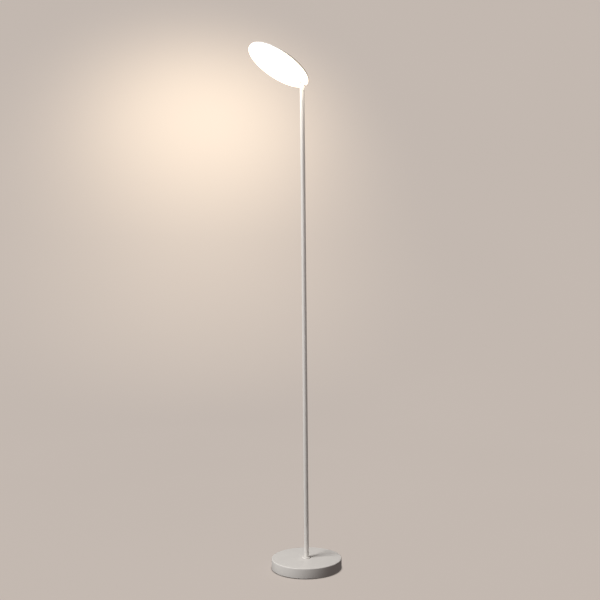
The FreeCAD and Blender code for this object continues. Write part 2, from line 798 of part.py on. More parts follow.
def make_pole_joiner(index, section):
    """Hollow joiner: gripped in the top of one tube, its thread in the insert of the next."""
    seam = f"(base_height + {index + 1} * section_length)"
    return turned(f"pole_joiner_{section}", [
        ("joiner_bore / 2", f"{seam} - joiner_grip"), ("pole_bore / 2", f"{seam} - joiner_grip"),
        ("pole_bore / 2", seam), ("stud_diameter / 2", seam),
        ("stud_diameter / 2", f"{seam} + stud_reach"), ("joiner_bore / 2", f"{seam} + stud_reach")])


def make_pole_lead():
    """Lead from the driver, round one bend under the stud and up through the pole."""
    start = ("driver_front + driver_wall + lead_overlap", "lead_floor")
    end = ("0", "swivel_end - running_gap")
    return bent_lead("pole_lead", "YZ_Plane", start, ("0", "lead_floor"), end, "lead_bend_radius",
                     "XZ_Plane", f"-({start[0]})")


# Swivel

def make_swivel_bush():
    """Plastic bush in the pole's top, with a flange and a stop rib in its track."""
    body = turned("swivel_bush", [
        ("spigot_diameter / 2 + bearing_gap", "bush_bottom"), ("pole_bore / 2", "bush_bottom"),
        ("pole_bore / 2", "pole_top"), ("pole_diameter / 2", "pole_top"),
        ("pole_diameter / 2", "bush_top"), ("stop_track_diameter / 2", "bush_top"),
        ("stop_track_diameter / 2", "pole_top - stop_track_depth"),
        ("spigot_diameter / 2 + bearing_gap", "pole_top - stop_track_depth")])
    rib = sketch_on(body, "XY_Plane", "stop_rib", "pole_top - stop_track_depth")
    draw_box(rib, "-stop_rib_width / 2", "stop_rib_width / 2",
             "spigot_diameter / 2 + running_gap", "stop_track_diameter / 2 + bush_flange / 2")
    pad(body, rib, "stop_track_depth", "rib_pad")
    return body


def make_tilt_knuckle():
    """Knuckle: pole-wide rod with a full-round top, side spotfaces, axle and lead bores and a spigot."""
    body = turned("tilt_knuckle", [
        ("knuckle_bore / 2", "swivel_end - hinge_height"), ("spigot_thread / 2", "swivel_end - hinge_height"),
        ("spigot_thread / 2", "spigot_end - hinge_height"),
        ("spigot_diameter / 2", "spigot_end - hinge_height"),
        ("spigot_diameter / 2", "-swivel_drop"), ("pole_diameter / 2", "-swivel_drop"),
        ("pole_diameter / 2", "knuckle_nose"), ("0", "knuckle_nose"), ("0", "0"), ("knuckle_bore / 2", "0")])
    round_the_top(body)
    soften(body, "Chamfer", "pole_edge_chamfer", rim_edge("pole_diameter / 2", "-swivel_drop"), "shoulder")
    for side, offset in (("left", "-knuckle_cheek"), ("right", "knuckle_cheek")):
        face = sketch_on(body, "YZ_Plane", f"{side}_spotface", offset)
        draw_circle(face, "0", "0", "spotface_diameter")
        pocket(body, face, f"{side}_spotface_cut", "spotface_depth + cut_overrun",
               along_normal=side == "right")
    bore = sketch_on(body, "YZ_Plane", "axle_bore")
    draw_circle(bore, "0", "0", "axle_diameter")
    pocket(body, bore, "axle_bore_cut")
    pin = sketch_on(body, "XZ_Plane", "stop_pin_hole")
    draw_circle(pin, "0", "stop_pin_height - hinge_height", "stop_pin_diameter")
    pocket(body, pin, "stop_pin_cut", "pole_diameter / 2", along_normal=True)
    lift(body, "hinge_height")
    return body


def round_the_top(body):
    """Turn the knuckle's top to a half ball about the hinge centre."""
    waste = sketch_on(body, "XZ_Plane", "top_waste")
    outer = "pole_diameter / 2 + cut_overrun"
    corners = [("pole_diameter / 2", "0"), (outer, "0"), (outer, outer), ("0", outer), ("0", "knuckle_nose")]
    points = [Vector(value(across), value(up), 0) for across, up in corners]
    for start, end in zip(points, points[1:]):
        waste.addGeometry(Part.LineSegment(start, end))
    waste.addGeometry(quarter_arc(Vector(0, 0, 0), points[0], points[0].x))
    arc = len(points) - 1
    for index in range(arc - 1):
        waste.addConstraint(Sketcher.Constraint("Coincident", index, 2, index + 1, 1))
    waste.addConstraint(Sketcher.Constraint("Coincident", 0, 1, arc, 1))
    waste.addConstraint(Sketcher.Constraint("Coincident", arc - 1, 2, arc, 2))
    hold_point(waste, arc, 3, "0", "0")
    for index, (across, up) in enumerate(corners[:-1]):
        hold_point(waste, index, 1, across, up)
    waste.addConstraint(Sketcher.Constraint("PointOnObject", arc, 2, -2))
    before = body.Shape.Volume
    feature = body.newObject("PartDesign::Groove", f"{body.Name}_top")
    feature.Profile = waste
    feature.ReferenceAxis = (waste, ["V_Axis"])
    feature.Angle = 360
    document.recompute()
    if body.Shape.Volume >= before:
        raise ValueError("the knuckle's top was not turned")


def make_swivel_stop_pin():
    """Pin across the spigot that meets the bush's rib at both ends of the swivel."""
    body = new_body("swivel_stop_pin")
    section = sketch_on(body, "XZ_Plane", "section", "spigot_diameter / 2 - stop_pin_root")
    draw_circle(section, "0", "0", "stop_pin_diameter")
    pad(body, section, "stop_pin_reach - spigot_diameter / 2 + stop_pin_root", "pin")
    lift(body, "stop_pin_height")
    return body


def make_swivel_spring_washer():
    """Spring washer that sets the drag of the swivel."""
    return ring("swivel_spring_washer", "spigot_thread / 2 + fit_gap", "swivel_nut_diameter / 2",
                "swivel_nut_top", "spigot_end")


def make_swivel_nut():
    """Round slotted nut that keeps the knuckle in the pole."""
    body = ring("swivel_nut", "spigot_thread / 2 + fit_gap", "swivel_nut_diameter / 2",
                "swivel_end", "swivel_nut_top")
    slot = sketch_on(body, "XY_Plane", "slot", "swivel_end")
    draw_box(slot, "-pole_diameter", "pole_diameter", "-swivel_nut_slot / 2", "swivel_nut_slot / 2")
    pocket(body, slot, "slot_cut", "swivel_nut_slot / 2", along_normal=True)
    return body


# Tilt hinge on the knuckle

def make_tilt_axle():
    """Hollow axle: flange at the right, window under the middle, thread for the screw at the left."""
    body = new_body("tilt_axle")
    bore_end = "axle_window_length / 2"
    thread_end = "tension_screw_length + axle_flange_thickness"
    left = "-(cheek_face - fit_gap)"
    revolve(body, "XZ_Plane", [
        (left, "tension_screw_diameter / 2"), (left, "axle_diameter / 2"),
        ("axle_flange_face", "axle_diameter / 2"), ("axle_flange_face", "axle_flange_diameter / 2"),
        ("axle_end", "axle_flange_diameter / 2"), ("axle_end", "axle_bore / 2"),
        (f"-{bore_end}", "axle_bore / 2"), (f"-{bore_end}", "0"), (f"{left} + {thread_end}", "0"),
        (f"{left} + {thread_end}", "tension_screw_diameter / 2")], axis="H_Axis")
    window = sketch_on(body, "XY_Plane", "window", "-axle_diameter")
    draw_box(window, "-axle_window_length / 2", "axle_window_length / 2",
             "-axle_window_width / 2", "axle_window_width / 2")
    pocket(body, window, "window_cut", "axle_diameter", along_normal=True)
    lift(body, "hinge_height")
    return body


def make_friction_washer(side, mirror):
    """Plastic washer in a spotface of the knuckle, a running gap short of the notch wall."""
    body = new_body(f"friction_washer_{side}")
    near = f"{mirror}knuckle_cheek"
    far = f"{mirror}friction_washer_face"
    revolve(body, "XZ_Plane", [
        (near, "axle_diameter / 2 + fit_gap"), (far, "axle_diameter / 2 + fit_gap"),
        (far, "friction_washer_diameter / 2"), (near, "friction_washer_diameter / 2")], axis="H_Axis")
    lift(body, "hinge_height")
    return body


def make_tension_washer():
    """Spring washer under the head of the tension screw."""
    body = new_body("tension_washer")
    revolve(body, "XZ_Plane", [
        ("-tension_washer_face", "tension_screw_diameter / 2 + fit_gap"),
        ("-tension_head_face", "tension_screw_diameter / 2 + fit_gap"),
        ("-tension_head_face", "tension_screw_head / 2"),
        ("-tension_washer_face", "tension_screw_head / 2")], axis="H_Axis")
    lift(body, "hinge_height")
    return body


def make_tension_screw():
    """Screw in the axle's left end that sets how stiffly the head tilts."""
    body = new_body("tension_screw")
    outside = "-(tension_head_face + tension_screw_head_height)"
    inside = "-(cheek_face - fit_gap) + tension_screw_length"
    revolve(body, "XZ_Plane", [
        (outside, "0"), (inside, "0"), (inside, "tension_screw_diameter / 2"),
        ("-tension_head_face", "tension_screw_diameter / 2"),
        ("-tension_head_face", "tension_screw_head / 2"), (outside, "tension_screw_head / 2")], axis="H_Axis")
    lift(body, "hinge_height")
    return body


def make_knuckle_lead():
    """Lead up the knuckle's bore, round a bend in the axle's window and out of the axle's flange."""
    start = ("0", "swivel_end - hinge_height")
    body = bent_lead("knuckle_lead", "XZ_Plane", start, ("0", "0"), ("axle_end", "0"),
                     "knuckle_lead_bend", "XY_Plane", start[1])
    lift(body, "hinge_height")
    return body


# Head

def place_on_hinge(body):
    """Turn a head piece to the photographed tilt about the hinge axis."""
    body.Placement.Rotation = FreeCAD.Rotation(Vector(1, 0, 0), -1)
    body.setExpression("Placement.Rotation.Angle", formula("-head_tilt"))
    body.setExpression("Placement.Base.z", formula("hinge_height"))


def place_on_disc(body):
    """Tilt a head piece that is modelled about the disc's centre."""
    place_on_hinge(body)
    body.setExpression("Placement.Base.y", formula("-head_reach * cos(head_tilt)"))
    body.setExpression("Placement.Base.z", formula("hinge_height + head_reach * sin(head_tilt)"))


def cut_bay(body, half_width, toe):
    """Cut an open-ended bay round the hinge out of a disc."""
    bay = sketch_on(body, "XY_Plane", "bay")
    draw_box(bay, f"-({half_width})", half_width, f"head_reach - ({toe})", "head_radius + cut_overrun")
    pocket(body, bay, "bay_cut")


def disc(name, radius, low, high, half_width, toe):
    """Make a flat disc of the head's stack with its bay for the hinge."""
    body = turned(name, [("0", low), (radius, low), (radius, high), ("0", high)])
    cut_bay(body, half_width, toe)
    place_on_disc(body)
    return body


def make_head_housing():
    """Shallow housing: thin back, rim with a rebate, walled notch for the knuckle and four weld studs."""
    body = turned("head_housing", [
        ("0", "back_inside"), ("head_inside", "back_inside"), ("head_inside", "tongue_top + fit_gap"),
        ("tongue_outside + fit_gap", "tongue_top + fit_gap"), ("tongue_outside + fit_gap", "-face_shoulder"),
        ("head_radius", "-face_shoulder"), ("head_radius", "half_thick"), ("0", "half_thick")])
    wall = sketch_on(body, "XY_Plane", "notch_wall", "-half_thick")
    draw_box(wall, "-notch_outside", "notch_outside", "head_reach - notch_heel", "notch_mouth")
    pad(body, wall, "half_thick + back_inside", "notch_block")
    studs = sketch_on(body, "XY_Plane", "studs", "back_inside")
    for across, up in block_stud_places("head_reach"):
        draw_circle(studs, across, up, "block_stud_diameter")
    pad(body, studs, "back_inside - block_front - block_nut_recess + block_nut_height", "weld_studs",
        against_normal=True)
    notch = sketch_on(body, "XY_Plane", "notch")
    draw_box(notch, "-notch_half", "notch_half", "head_reach - notch_back", "head_radius + cut_overrun")
    pocket(body, notch, "notch_cut")
    axle = sketch_on(body, "YZ_Plane", "axle_hole", "-notch_outside - cut_overrun / 2")
    draw_circle(axle, "head_reach", "0", "axle_diameter + 2 * running_gap")
    pocket(body, axle, "axle_hole_cut", "2 * notch_outside + cut_overrun", along_normal=True)
    soften(body, "Fillet", "notch_corner_radius", notch_corner_edge, "notch_corners")
    soften(body, "Fillet", "head_edge_radius", rim_edge("head_radius", "half_thick"), "back_edge")
    place_on_disc(body)
    return body


def notch_corner_edge(edge):
    """Test for the two upright inner corners of the notch."""
    near = value("fit_gap") / 100
    if any(abs(abs(vertex.X) - value("notch_half")) > near for vertex in edge.Vertexes):
        return False
    if any(abs(vertex.Y - value("head_reach - notch_back")) > near for vertex in edge.Vertexes):
        return False
    return abs(edge.Length - value("head_thickness")) < near


def block_stud_places(axis):
    """Give the four stud places, measured from the hinge axis at the given height of the sketch."""
    middle = "(block_inside + cheek_width / 2)"
    ends = ("+ block_stud_heel", "- block_stud_toe")
    return [(f"{across}{middle}", f"{axis} {end}") for across in ("", "-") for end in ends]


def make_hinge_block():
    """Forked steel block: two cheeks on either side of the notch, joined ahead of it."""
    body = new_body("hinge_block")
    fork = sketch_on(body, "XY_Plane", "fork", "block_front")
    draw_outline(fork, [
        ("-cheek_face", "-block_toe"), ("cheek_face", "-block_toe"), ("cheek_face", "block_heel"),
        ("block_inside", "block_heel"), ("block_inside", "-notch_heel - fit_gap"),
        ("-block_inside", "-notch_heel - fit_gap"), ("-block_inside", "block_heel"),
        ("-cheek_face", "block_heel")])
    pad(body, fork, "back_inside - block_front", "block")
    axle = sketch_on(body, "YZ_Plane", "axle_bore")
    draw_circle(axle, "0", "0", "axle_diameter + 2 * bearing_gap")
    pocket(body, axle, "axle_bore_cut")
    holes = sketch_on(body, "XY_Plane", "stud_holes")
    seats = sketch_on(body, "XY_Plane", "nut_seats", "block_front")
    for across, up in block_stud_places(""):
        draw_circle(holes, across, up, "block_stud_diameter + 2 * fit_gap")
        draw_circle(seats, across, up, "block_nut_width / cos(30) + 2 * fit_gap")
    pocket(body, holes, "stud_hole_cuts")
    pocket(body, seats, "nut_seat_cuts", "block_nut_recess", along_normal=True)
    place_on_hinge(body)
    return body


def make_hinge_block_nuts():
    """Four thin nuts on the weld studs, down in the seats of the block."""
    body = new_body("hinge_block_nuts")
    body.AllowCompound = True
    top = "block_front + block_nut_recess"
    outlines = sketch_on(body, "XY_Plane", "hexagons", top)
    reach = "block_nut_width / sqrt(3)"
    for across, up in block_stud_places(""):
        corners = []
        for turn in range(6):
            angle = 60 * turn
            corners.append((f"{across} + {reach} * cos({angle})", f"{up} + {reach} * sin({angle})"))
        draw_outline(outlines, corners)
        draw_circle(outlines, across, up, "block_stud_diameter + 2 * fit_gap")
    pad(body, outlines, "block_nut_height", "blocks", against_normal=True)
    place_on_hinge(body)
    return body


def make_backing_foam():
    """Foam disc that presses the light stack against the face."""
    return disc("backing_foam", "guide_radius", "-reflector_back", "back_inside",
                "bay_width / 2", "bay_depth")


def make_reflector_sheet():
    """White reflecting sheet behind the light guide."""
    return disc("reflector_sheet", "guide_radius", "-guide_back", "-reflector_back",
                "bay_width / 2", "bay_depth")


def make_light_guide():
    """Clear plate that spreads the light of the edge strip."""
    return disc("light_guide", "guide_radius", "-face_back", "-guide_back", "bay_width / 2", "bay_depth")


def make_diffuser():
    """Opal face with a rim of its own, whose tongue sits in the housing's rebate."""
    body = turned("diffuser", [
        ("0", "-half_thick"), ("head_radius", "-half_thick"), ("head_radius", "-face_shoulder"),
        ("tongue_outside", "-face_shoulder"), ("tongue_outside", "tongue_top"), ("head_inside", "tongue_top"),
        ("head_inside", "-face_back"), ("0", "-face_back")])
    soften(body, "Fillet", "face_edge_radius", rim_edge("head_radius", "-half_thick"), "rim_edge")
    cut_bay(body, "notch_outside + fit_gap", "notch_heel + fit_gap")
    place_on_disc(body)
    return body


def make_led_strip():
    """Flexible strip round the inside of the rim, open at the hinge."""
    body = ring("led_strip", "strip_inside", "strip_outside", "-strip_front", "-strip_front + strip_width")
    cut_bay(body, "strip_gap_width / 2", "0")
    place_on_disc(body)
    return body


def make_led_chips():
    """Row of chips on the strip, facing the edge of the light guide."""
    body = new_body("led_chips")
    body.AllowCompound = True
    level = "(-(face_back + guide_back) / 2 - led_height / 2)"
    first = sketch_on(body, "XY_Plane", "chip", level)
    turn_start = "(led_first_angle + 90)"
    corners = []
    for side, reach in ((-1, "led_inside"), (1, "led_inside"), (1, "led_outside"), (-1, "led_outside")):
        shift = f"{side} * led_width / 2"
        corners.append((f"{reach} * cos{turn_start} - {shift} * sin{turn_start}",
                        f"{reach} * sin{turn_start} + {shift} * cos{turn_start}"))
    draw_outline(first, corners)
    chip = pad(body, first, "led_height", "chip_pad")
    repeat_round(body, [chip], "led_count", "360 - 2 * led_first_angle")
    place_on_disc(body)
    return body


def make_head_lead():
    """Lead from the axle's flange round a bend to the end of the strip."""
    body = bent_lead("head_lead", "XY_Plane", ("head_lead_start", "0"), ("head_lead_side", "0"),
                     ("head_lead_side", "head_lead_reach"), "head_lead_bend", "YZ_Plane", "head_lead_start")
    place_on_hinge(body)
    return body


def make_all():
    """Build every sub-part and give them in order from the floor up."""
    parts = [
        make_base_cover(), make_base_weight(), make_base_plate(), make_base_pad(),
        make_base_plate_screws(), make_foot_collar(), make_foot_stud(), make_foot_washer(),
        make_foot_lock_washer(), make_foot_nut(), make_dc_inlet(), make_dc_centre_pin(),
        make_dc_inlet_nut(), make_inlet_lead(), make_driver_case(), make_driver_lid(),
        make_driver_board(), make_driver_components(), make_lead_clip(), make_pole_lead()]
    for index, section in enumerate(SECTIONS):
        parts.append(make_pole_section(index, section))
        parts.append(make_pole_insert(index, section))
        if index + 1 < len(SECTIONS):
            parts.append(make_pole_joiner(index, section))
    parts += [
        make_swivel_bush(), make_tilt_knuckle(), make_swivel_stop_pin(),
        make_swivel_spring_washer(), make_swivel_nut(), make_tilt_axle(),
        make_friction_washer("left", "-"), make_friction_washer("right", ""),
        make_tension_washer(), make_tension_screw(), make_knuckle_lead(),
        make_head_housing(), make_hinge_block(), make_hinge_block_nuts(), make_backing_foam(),
        make_reflector_sheet(), make_light_guide(), make_diffuser(), make_led_strip(),
        make_led_chips(), make_head_lead()]
    return parts


def check_document(parts):
    """Stop if any feature failed or any sub-part is empty or not valid."""
    document.recompute()
    for item in document.Objects:
        if "Invalid" in item.State or "Error" in item.State:
            raise ValueError(f"{item.Name} failed: {item.State}")
    for part in parts:
        if part.Shape.isNull() or not part.Shape.Solids or not part.Shape.isValid():
            raise ValueError(f"{part.Label} has no valid shape")


def write_steps(parts):
    """Write each sub-part to a file of its own name."""
    os.makedirs("parts", exist_ok=True)
    for part in parts:
        part.Shape.exportStep(f"parts/{part.Label}.step")
    print(f"{len(parts)} sub-parts, {sum(len(part.Shape.Solids) for part in parts)} solids")


fill_sheet()
sub_parts = make_all()
check_document(sub_parts)
write_steps(sub_parts)
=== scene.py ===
"""Disc-headed LED floor lamp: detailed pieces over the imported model, dressed and lit."""
import json
import logging
import math
from collections.abc import Callable
from dataclasses import dataclass
from enum import Enum
from functools import cached_property
from itertools import pairwise

import bpy
from mathutils import Matrix, Vector

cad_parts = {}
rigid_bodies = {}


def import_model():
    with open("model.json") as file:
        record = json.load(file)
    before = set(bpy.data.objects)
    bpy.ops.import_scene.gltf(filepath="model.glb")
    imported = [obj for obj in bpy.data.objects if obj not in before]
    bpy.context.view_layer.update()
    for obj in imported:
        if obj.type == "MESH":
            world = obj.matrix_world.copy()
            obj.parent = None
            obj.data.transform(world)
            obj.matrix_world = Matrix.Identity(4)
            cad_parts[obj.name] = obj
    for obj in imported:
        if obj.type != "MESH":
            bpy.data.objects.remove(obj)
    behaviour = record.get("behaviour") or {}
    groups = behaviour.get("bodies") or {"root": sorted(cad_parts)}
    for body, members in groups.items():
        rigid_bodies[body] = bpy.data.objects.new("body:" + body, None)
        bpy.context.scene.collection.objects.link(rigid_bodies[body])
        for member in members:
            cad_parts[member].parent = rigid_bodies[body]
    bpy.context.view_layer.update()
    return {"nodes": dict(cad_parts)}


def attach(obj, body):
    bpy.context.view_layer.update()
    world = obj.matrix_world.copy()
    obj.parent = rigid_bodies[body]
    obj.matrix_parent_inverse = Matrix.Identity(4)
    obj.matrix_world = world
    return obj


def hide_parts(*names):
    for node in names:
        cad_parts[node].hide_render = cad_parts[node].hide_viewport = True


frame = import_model()

logging.basicConfig(level=logging.INFO, format="%(message)s")
LOG = logging.getLogger("lamp")

MM = 0.001
MERGE = 0.005 * MM
SHARP_EDGE = math.radians(40)
# How far cutters reach past what they cut, in millimetres
PAST = 1.0
FAR_PAST = 5.0

Point = tuple[float, float]
Corner = tuple[float, float, float]
Colour = tuple[float, float, float]
Socket = bpy.types.NodeSocket
Inputs = dict[str | int, Socket | float | tuple[float, ...]]


class Body(Enum):
    """Bodies that the pieces ride on."""

    STAND = "stand"
    SWIVEL = "swivel"
    HEAD = "head"


class Slot(Enum):
    """Names of the record's material slots for the new pieces."""

    COAT = "white_coat"
    ALUMINIUM = "white_aluminium"
    STEEL = "zinc_steel"
    RUBBER = "foot_rubber"
    BLACK = "black_plastic"
    COMPONENT = "component"
    BRASS = "contact_brass"
    OPAL = "opal"
    PHOSPHOR = "led_phosphor"


@dataclass(frozen=True)
class DiscPlace:
    """Place of the disc head at rest. Lengths are in millimetres."""

    tilt: float = math.radians(32)
    hinge: float = 1663.0
    radius: float = 115.0
    inset: float = 16.0

    @property
    def reach(self) -> float:
        """Distance from the hinge's axis to the disc's centre."""
        return self.radius - self.inset

    @property
    def centre(self) -> Corner:
        """Place of the disc's centre."""
        return 0, -self.reach * math.cos(self.tilt), self.hinge + self.reach * math.sin(self.tilt)


DISC = DiscPlace()


# Materials


def shade(colour: Colour, factor: float) -> Colour:
    """Give a linear colour made lighter or darker by a factor."""
    return tuple(min(channel * factor, 1.0) for channel in colour)


@dataclass(frozen=True)
class Surface:
    """A finish: its values, and the material that is made from them once."""

    name: str

    @cached_property
    def bare(self) -> bpy.types.Material:
        """New material with the plain surface shader."""
        made = bpy.data.materials.new(self.name)
        made.use_nodes = True
        return made

    @cached_property
    def material(self) -> bpy.types.Material:
        """Material with all its nodes in place."""
        self.work()
        return self.bare

    def work(self) -> None:
        """Put the finish's nodes in place."""
        raise NotImplementedError

    def feed(self, node: bpy.types.Node, inputs: Inputs) -> bpy.types.Node:
        """Set inputs of a node, or link them.

        Args:
            node: The node.
            inputs: Constants, or sockets to link from, by the inputs' names or numbers.

        Returns:
            The same node.
        """
        for key, value in inputs.items():
            if isinstance(value, Socket):
                self.bare.node_tree.links.new(value, node.inputs[key])
            else:
                node.inputs[key].default_value = value
        return node

    def cover(self, inputs: Inputs) -> None:
        """Set inputs of the surface shader, or link them."""
        self.feed(self.bare.node_tree.nodes["Principled BSDF"], inputs)

    def node(self, kind: str, inputs: Inputs, **settings: object) -> bpy.types.Node:
        """Add a node.

        Args:
            kind: Class name of the node without its prefix.
            inputs: Constants, or sockets to link from, by the inputs' names or numbers.
            settings: Properties to set on it.

        Returns:
            The new node.
        """
        made = self.bare.node_tree.nodes.new(f"ShaderNode{kind}")
        for key, value in settings.items():
            setattr(made, key, value)
        return self.feed(made, inputs)

    def place(self) -> Socket:
        """Read the object coordinates."""
        return self.node("TexCoord", {}).outputs["Object"]

    def reach(self, where: Socket) -> Socket:
        """Measure the distance from the upright axis.

        Args:
            where: Vector socket of the coordinates.

        Returns:
            Value socket of the distance.
        """
        apart = self.node("SeparateXYZ", {"Vector": where}).outputs
        flat = self.node("CombineXYZ", {"X": apart["X"], "Y": apart["Y"]})
        return self.node("VectorMath", {0: flat.outputs["Vector"]}, operation="LENGTH").outputs["Value"]

    def noise(self, where: Socket, grain: float, detail: float = 2.0, roughness: float = 0.5) -> Socket:
        """Add a noise whose grain has a size in metres, and give its factor."""
        return self.node("TexNoise", {"Vector": where, "Scale": 1 / grain, "Detail": detail,
                                      "Roughness": roughness}).outputs["Fac"]

    def ramp(self, factor: Socket, stops: list[tuple[float, Colour]], target: str = "Base Color") -> Socket:
        """Turn a factor into a colour of the surface through a ramp.

        Args:
            factor: Socket with a factor from 0 to 1.
            stops: Places and colours of the ramp.
            target: Input of the surface shader that takes the colour.

        Returns:
            Colour socket.
        """
        made = self.node("ValToRGB", {"Fac": factor})
        elements = made.color_ramp.elements
        while len(elements) < len(stops):
            elements.new(0.5)
        for element, (position, colour) in zip(elements, stops):
            element.position = position
            element.color = (*colour, 1)
        self.cover({target: made.outputs["Color"]})
        return made.outputs["Color"]

    def mottle(self, factor: Socket, colour: Colour, spread: Point) -> Socket:
        """Colour the surface in soft clouds between two multiples of a colour."""
        dark, light = (shade(colour, share) for share in spread)
        return self.ramp(factor, [(0.3, dark), (0.7, light)])

    def roughen(self, factor: Socket, span: Point) -> None:
        """Spread a factor over a span of roughness."""
        made = self.node("MapRange", {"Value": factor, "To Min": span[0], "To Max": span[1]})
        self.cover({"Roughness": made.outputs["Result"]})

    def bump(self, height: Socket, depth: float, strength: float, under: Socket | None = None) -> Socket:
        """Add a bump and lead it to the surface.

        Args:
            height: Socket with the height from 0 to 1.
            depth: Depth of the relief in metres.
            strength: Share of the relief that shows.
            under: Normal of a bump beneath this one.

        Returns:
            Normal socket, for a bump above this one.
        """
        beneath = {} if under is None else {"Normal": under}
        made = self.node("Bump", {"Strength": strength, "Distance": depth, "Height": height, **beneath})
        self.cover({"Normal": made.outputs["Normal"]})
        return made.outputs["Normal"]


@dataclass(frozen=True)
class PowderCoat(Surface):
    """Off-white powder coat with a fine orange peel."""

    name: str = "powder_coat"
    colour: Colour = (0.80, 0.785, 0.76)
    clouds: Point = (0.985, 1.01)
    cloud: float = 60 * MM
    roughness: Point = (0.37, 0.48)
    peel: float = 0.9 * MM
    speck: float = 0.25 * MM
    relief: float = 0.02 * MM

    def work(self) -> None:
        """Lay the peel over fainter specks."""
        where = self.place()
        self.mottle(self.noise(where, self.cloud), self.colour, self.clouds)
        peel = self.noise(where, self.peel, 1.0)
        self.roughen(peel, self.roughness)
        first = self.bump(peel, self.relief, 0.5)
        self.bump(self.noise(where, self.speck, 1.0), self.relief / 3, 0.4, first)
        self.cover({"Specular IOR Level": 0.45})


@dataclass(frozen=True)
class CastIron(Surface):
    """Raw grey iron under a thin black wash."""

    name: str = "cast_iron"
    colour: Colour = (0.055, 0.055, 0.058)
    rust: Colour = (0.11, 0.075, 0.055)
    blotch: float = 22 * MM
    roughness: Point = (0.55, 0.8)
    grain: float = 1.6 * MM
    relief: float = 0.18 * MM

    def work(self) -> None:
        """Blotch the iron with a little rust, and give it the grain of cast sand."""
        where = self.place()
        self.ramp(self.noise(where, self.blotch, 4.0),
                  [(0.35, self.colour), (0.62, shade(self.colour, 1.7)), (0.78, self.rust)])
        sand = self.noise(where, self.grain, 3.0, 0.65)
        self.roughen(sand, self.roughness)
        self.bump(sand, self.relief, 0.8)
        self.cover({"Metallic": 0.6})


@dataclass(frozen=True)
class ZincSteel(Surface):
    """Zinc-plated steel with the rings of turning or the grain of rolling."""

    name: str = "zinc_steel"
    colour: Colour = (0.60, 0.61, 0.62)
    clouds: Point = (0.9, 1.08)
    cloud: float = 9 * MM
    roughness: Point = (0.26, 0.42)
    ring: float = 0.12 * MM
    relief: float = 0.006 * MM
    turned: bool = True

    def work(self) -> None:
        """Draw the rings or the grain as stretched noise."""
        where = self.place()
        apart = self.node("SeparateXYZ", {"Vector": where}).outputs
        across = self.reach(where) if self.turned else apart["Y"]
        lines = self.node("CombineXYZ", {"X": across, "Z": apart["Z"]})
        groove = self.noise(lines.outputs["Vector"], self.ring)
        self.mottle(self.noise(where, self.cloud, 3.0), self.colour, self.clouds)
        self.roughen(groove, self.roughness)
        self.bump(groove, self.relief, 0.6)
        self.cover({"Metallic": 1.0})


@dataclass(frozen=True)
class Moulded(Surface):
    """Moulded plastic or rubber with a fine spark-eroded grain."""

    name: str
    colour: Colour
    roughness: float = 0.5
    grain: float = 0.3 * MM
    relief: float = 0.015 * MM
    subsurface: float = 0.0
    clouds: Point = (0.93, 1.06)
    cloud: float = 14 * MM
    spread: Point = (-0.06, 0.08)

    def work(self) -> None:
        """Mottle the plastic, and let light into it where it is translucent."""
        where = self.place()
        self.mottle(self.noise(where, self.cloud, 3.0), self.colour, self.clouds)
        grain = self.noise(where, self.grain)
        self.roughen(grain, tuple(self.roughness + step for step in self.spread))
        self.bump(grain, self.relief, 0.6)
        if self.subsurface:
            self.cover({"Subsurface Weight": self.subsurface, "Subsurface Scale": 2 * MM})


@dataclass(frozen=True)
class CircuitBoard(Surface):
    """Green solder mask over copper tracks."""

    name: str = "solder_mask"
    mask: Colour = (0.012, 0.09, 0.035)
    track: Colour = (0.03, 0.17, 0.06)
    pitch: float = 3.2 * MM
    track_width: float = 0.07
    relief: float = 0.03 * MM

    def work(self) -> None:
        """Draw the tracks as the joints of uneven bricks."""
        bricks = self.node("TexBrick", {
            "Vector": self.place(), "Scale": 1 / self.pitch, "Mortar Size": self.track_width,
            "Color1": (*self.mask, 1), "Color2": (*shade(self.mask, 1.1), 1),
            "Mortar": (*self.track, 1)}, offset=0.37, offset_frequency=3)
        self.bump(bricks.outputs["Fac"], self.relief, 0.5)
        self.cover({"Base Color": bricks.outputs["Color"], "Roughness": 0.28})


@dataclass(frozen=True)
class OpalFace(Surface):
    """Opal acrylic lit from behind: even white, a little warmer and dimmer at the rim."""

    name: str = "lit_opal"
    strength: float = 7.5
    middle: Colour = (1.0, 0.93, 0.80)
    rim: Colour = (1.0, 0.84, 0.62)
    rim_start: float = 0.9
    unlit: Colour = (0.9, 0.89, 0.86)
    roughness: Point = (0.42, 0.5)
    grain: float = 0.4 * MM

    def work(self) -> None:
        """Light the face by the distance from the disc's centre."""
        where = self.place()
        centred = self.node("Mapping", {
            "Vector": where, "Location": [length * MM for length in DISC.centre],
            "Rotation": (-DISC.tilt, 0, 0)}, vector_type="TEXTURE")
        away = self.reach(centred.outputs["Vector"])
        share = self.node("MapRange", {"Value": away, "From Max": DISC.radius * MM})
        self.ramp(share.outputs["Result"], [
            (0.0, self.middle), (self.rim_start, self.middle), (0.97, shade(self.rim, 0.5)),
            (1.0, shade(self.rim, 0.33))], "Emission Color")
        self.roughen(self.noise(where, self.grain), self.roughness)
        self.cover({"Emission Strength": self.strength, "Base Color": (*self.unlit, 1)})


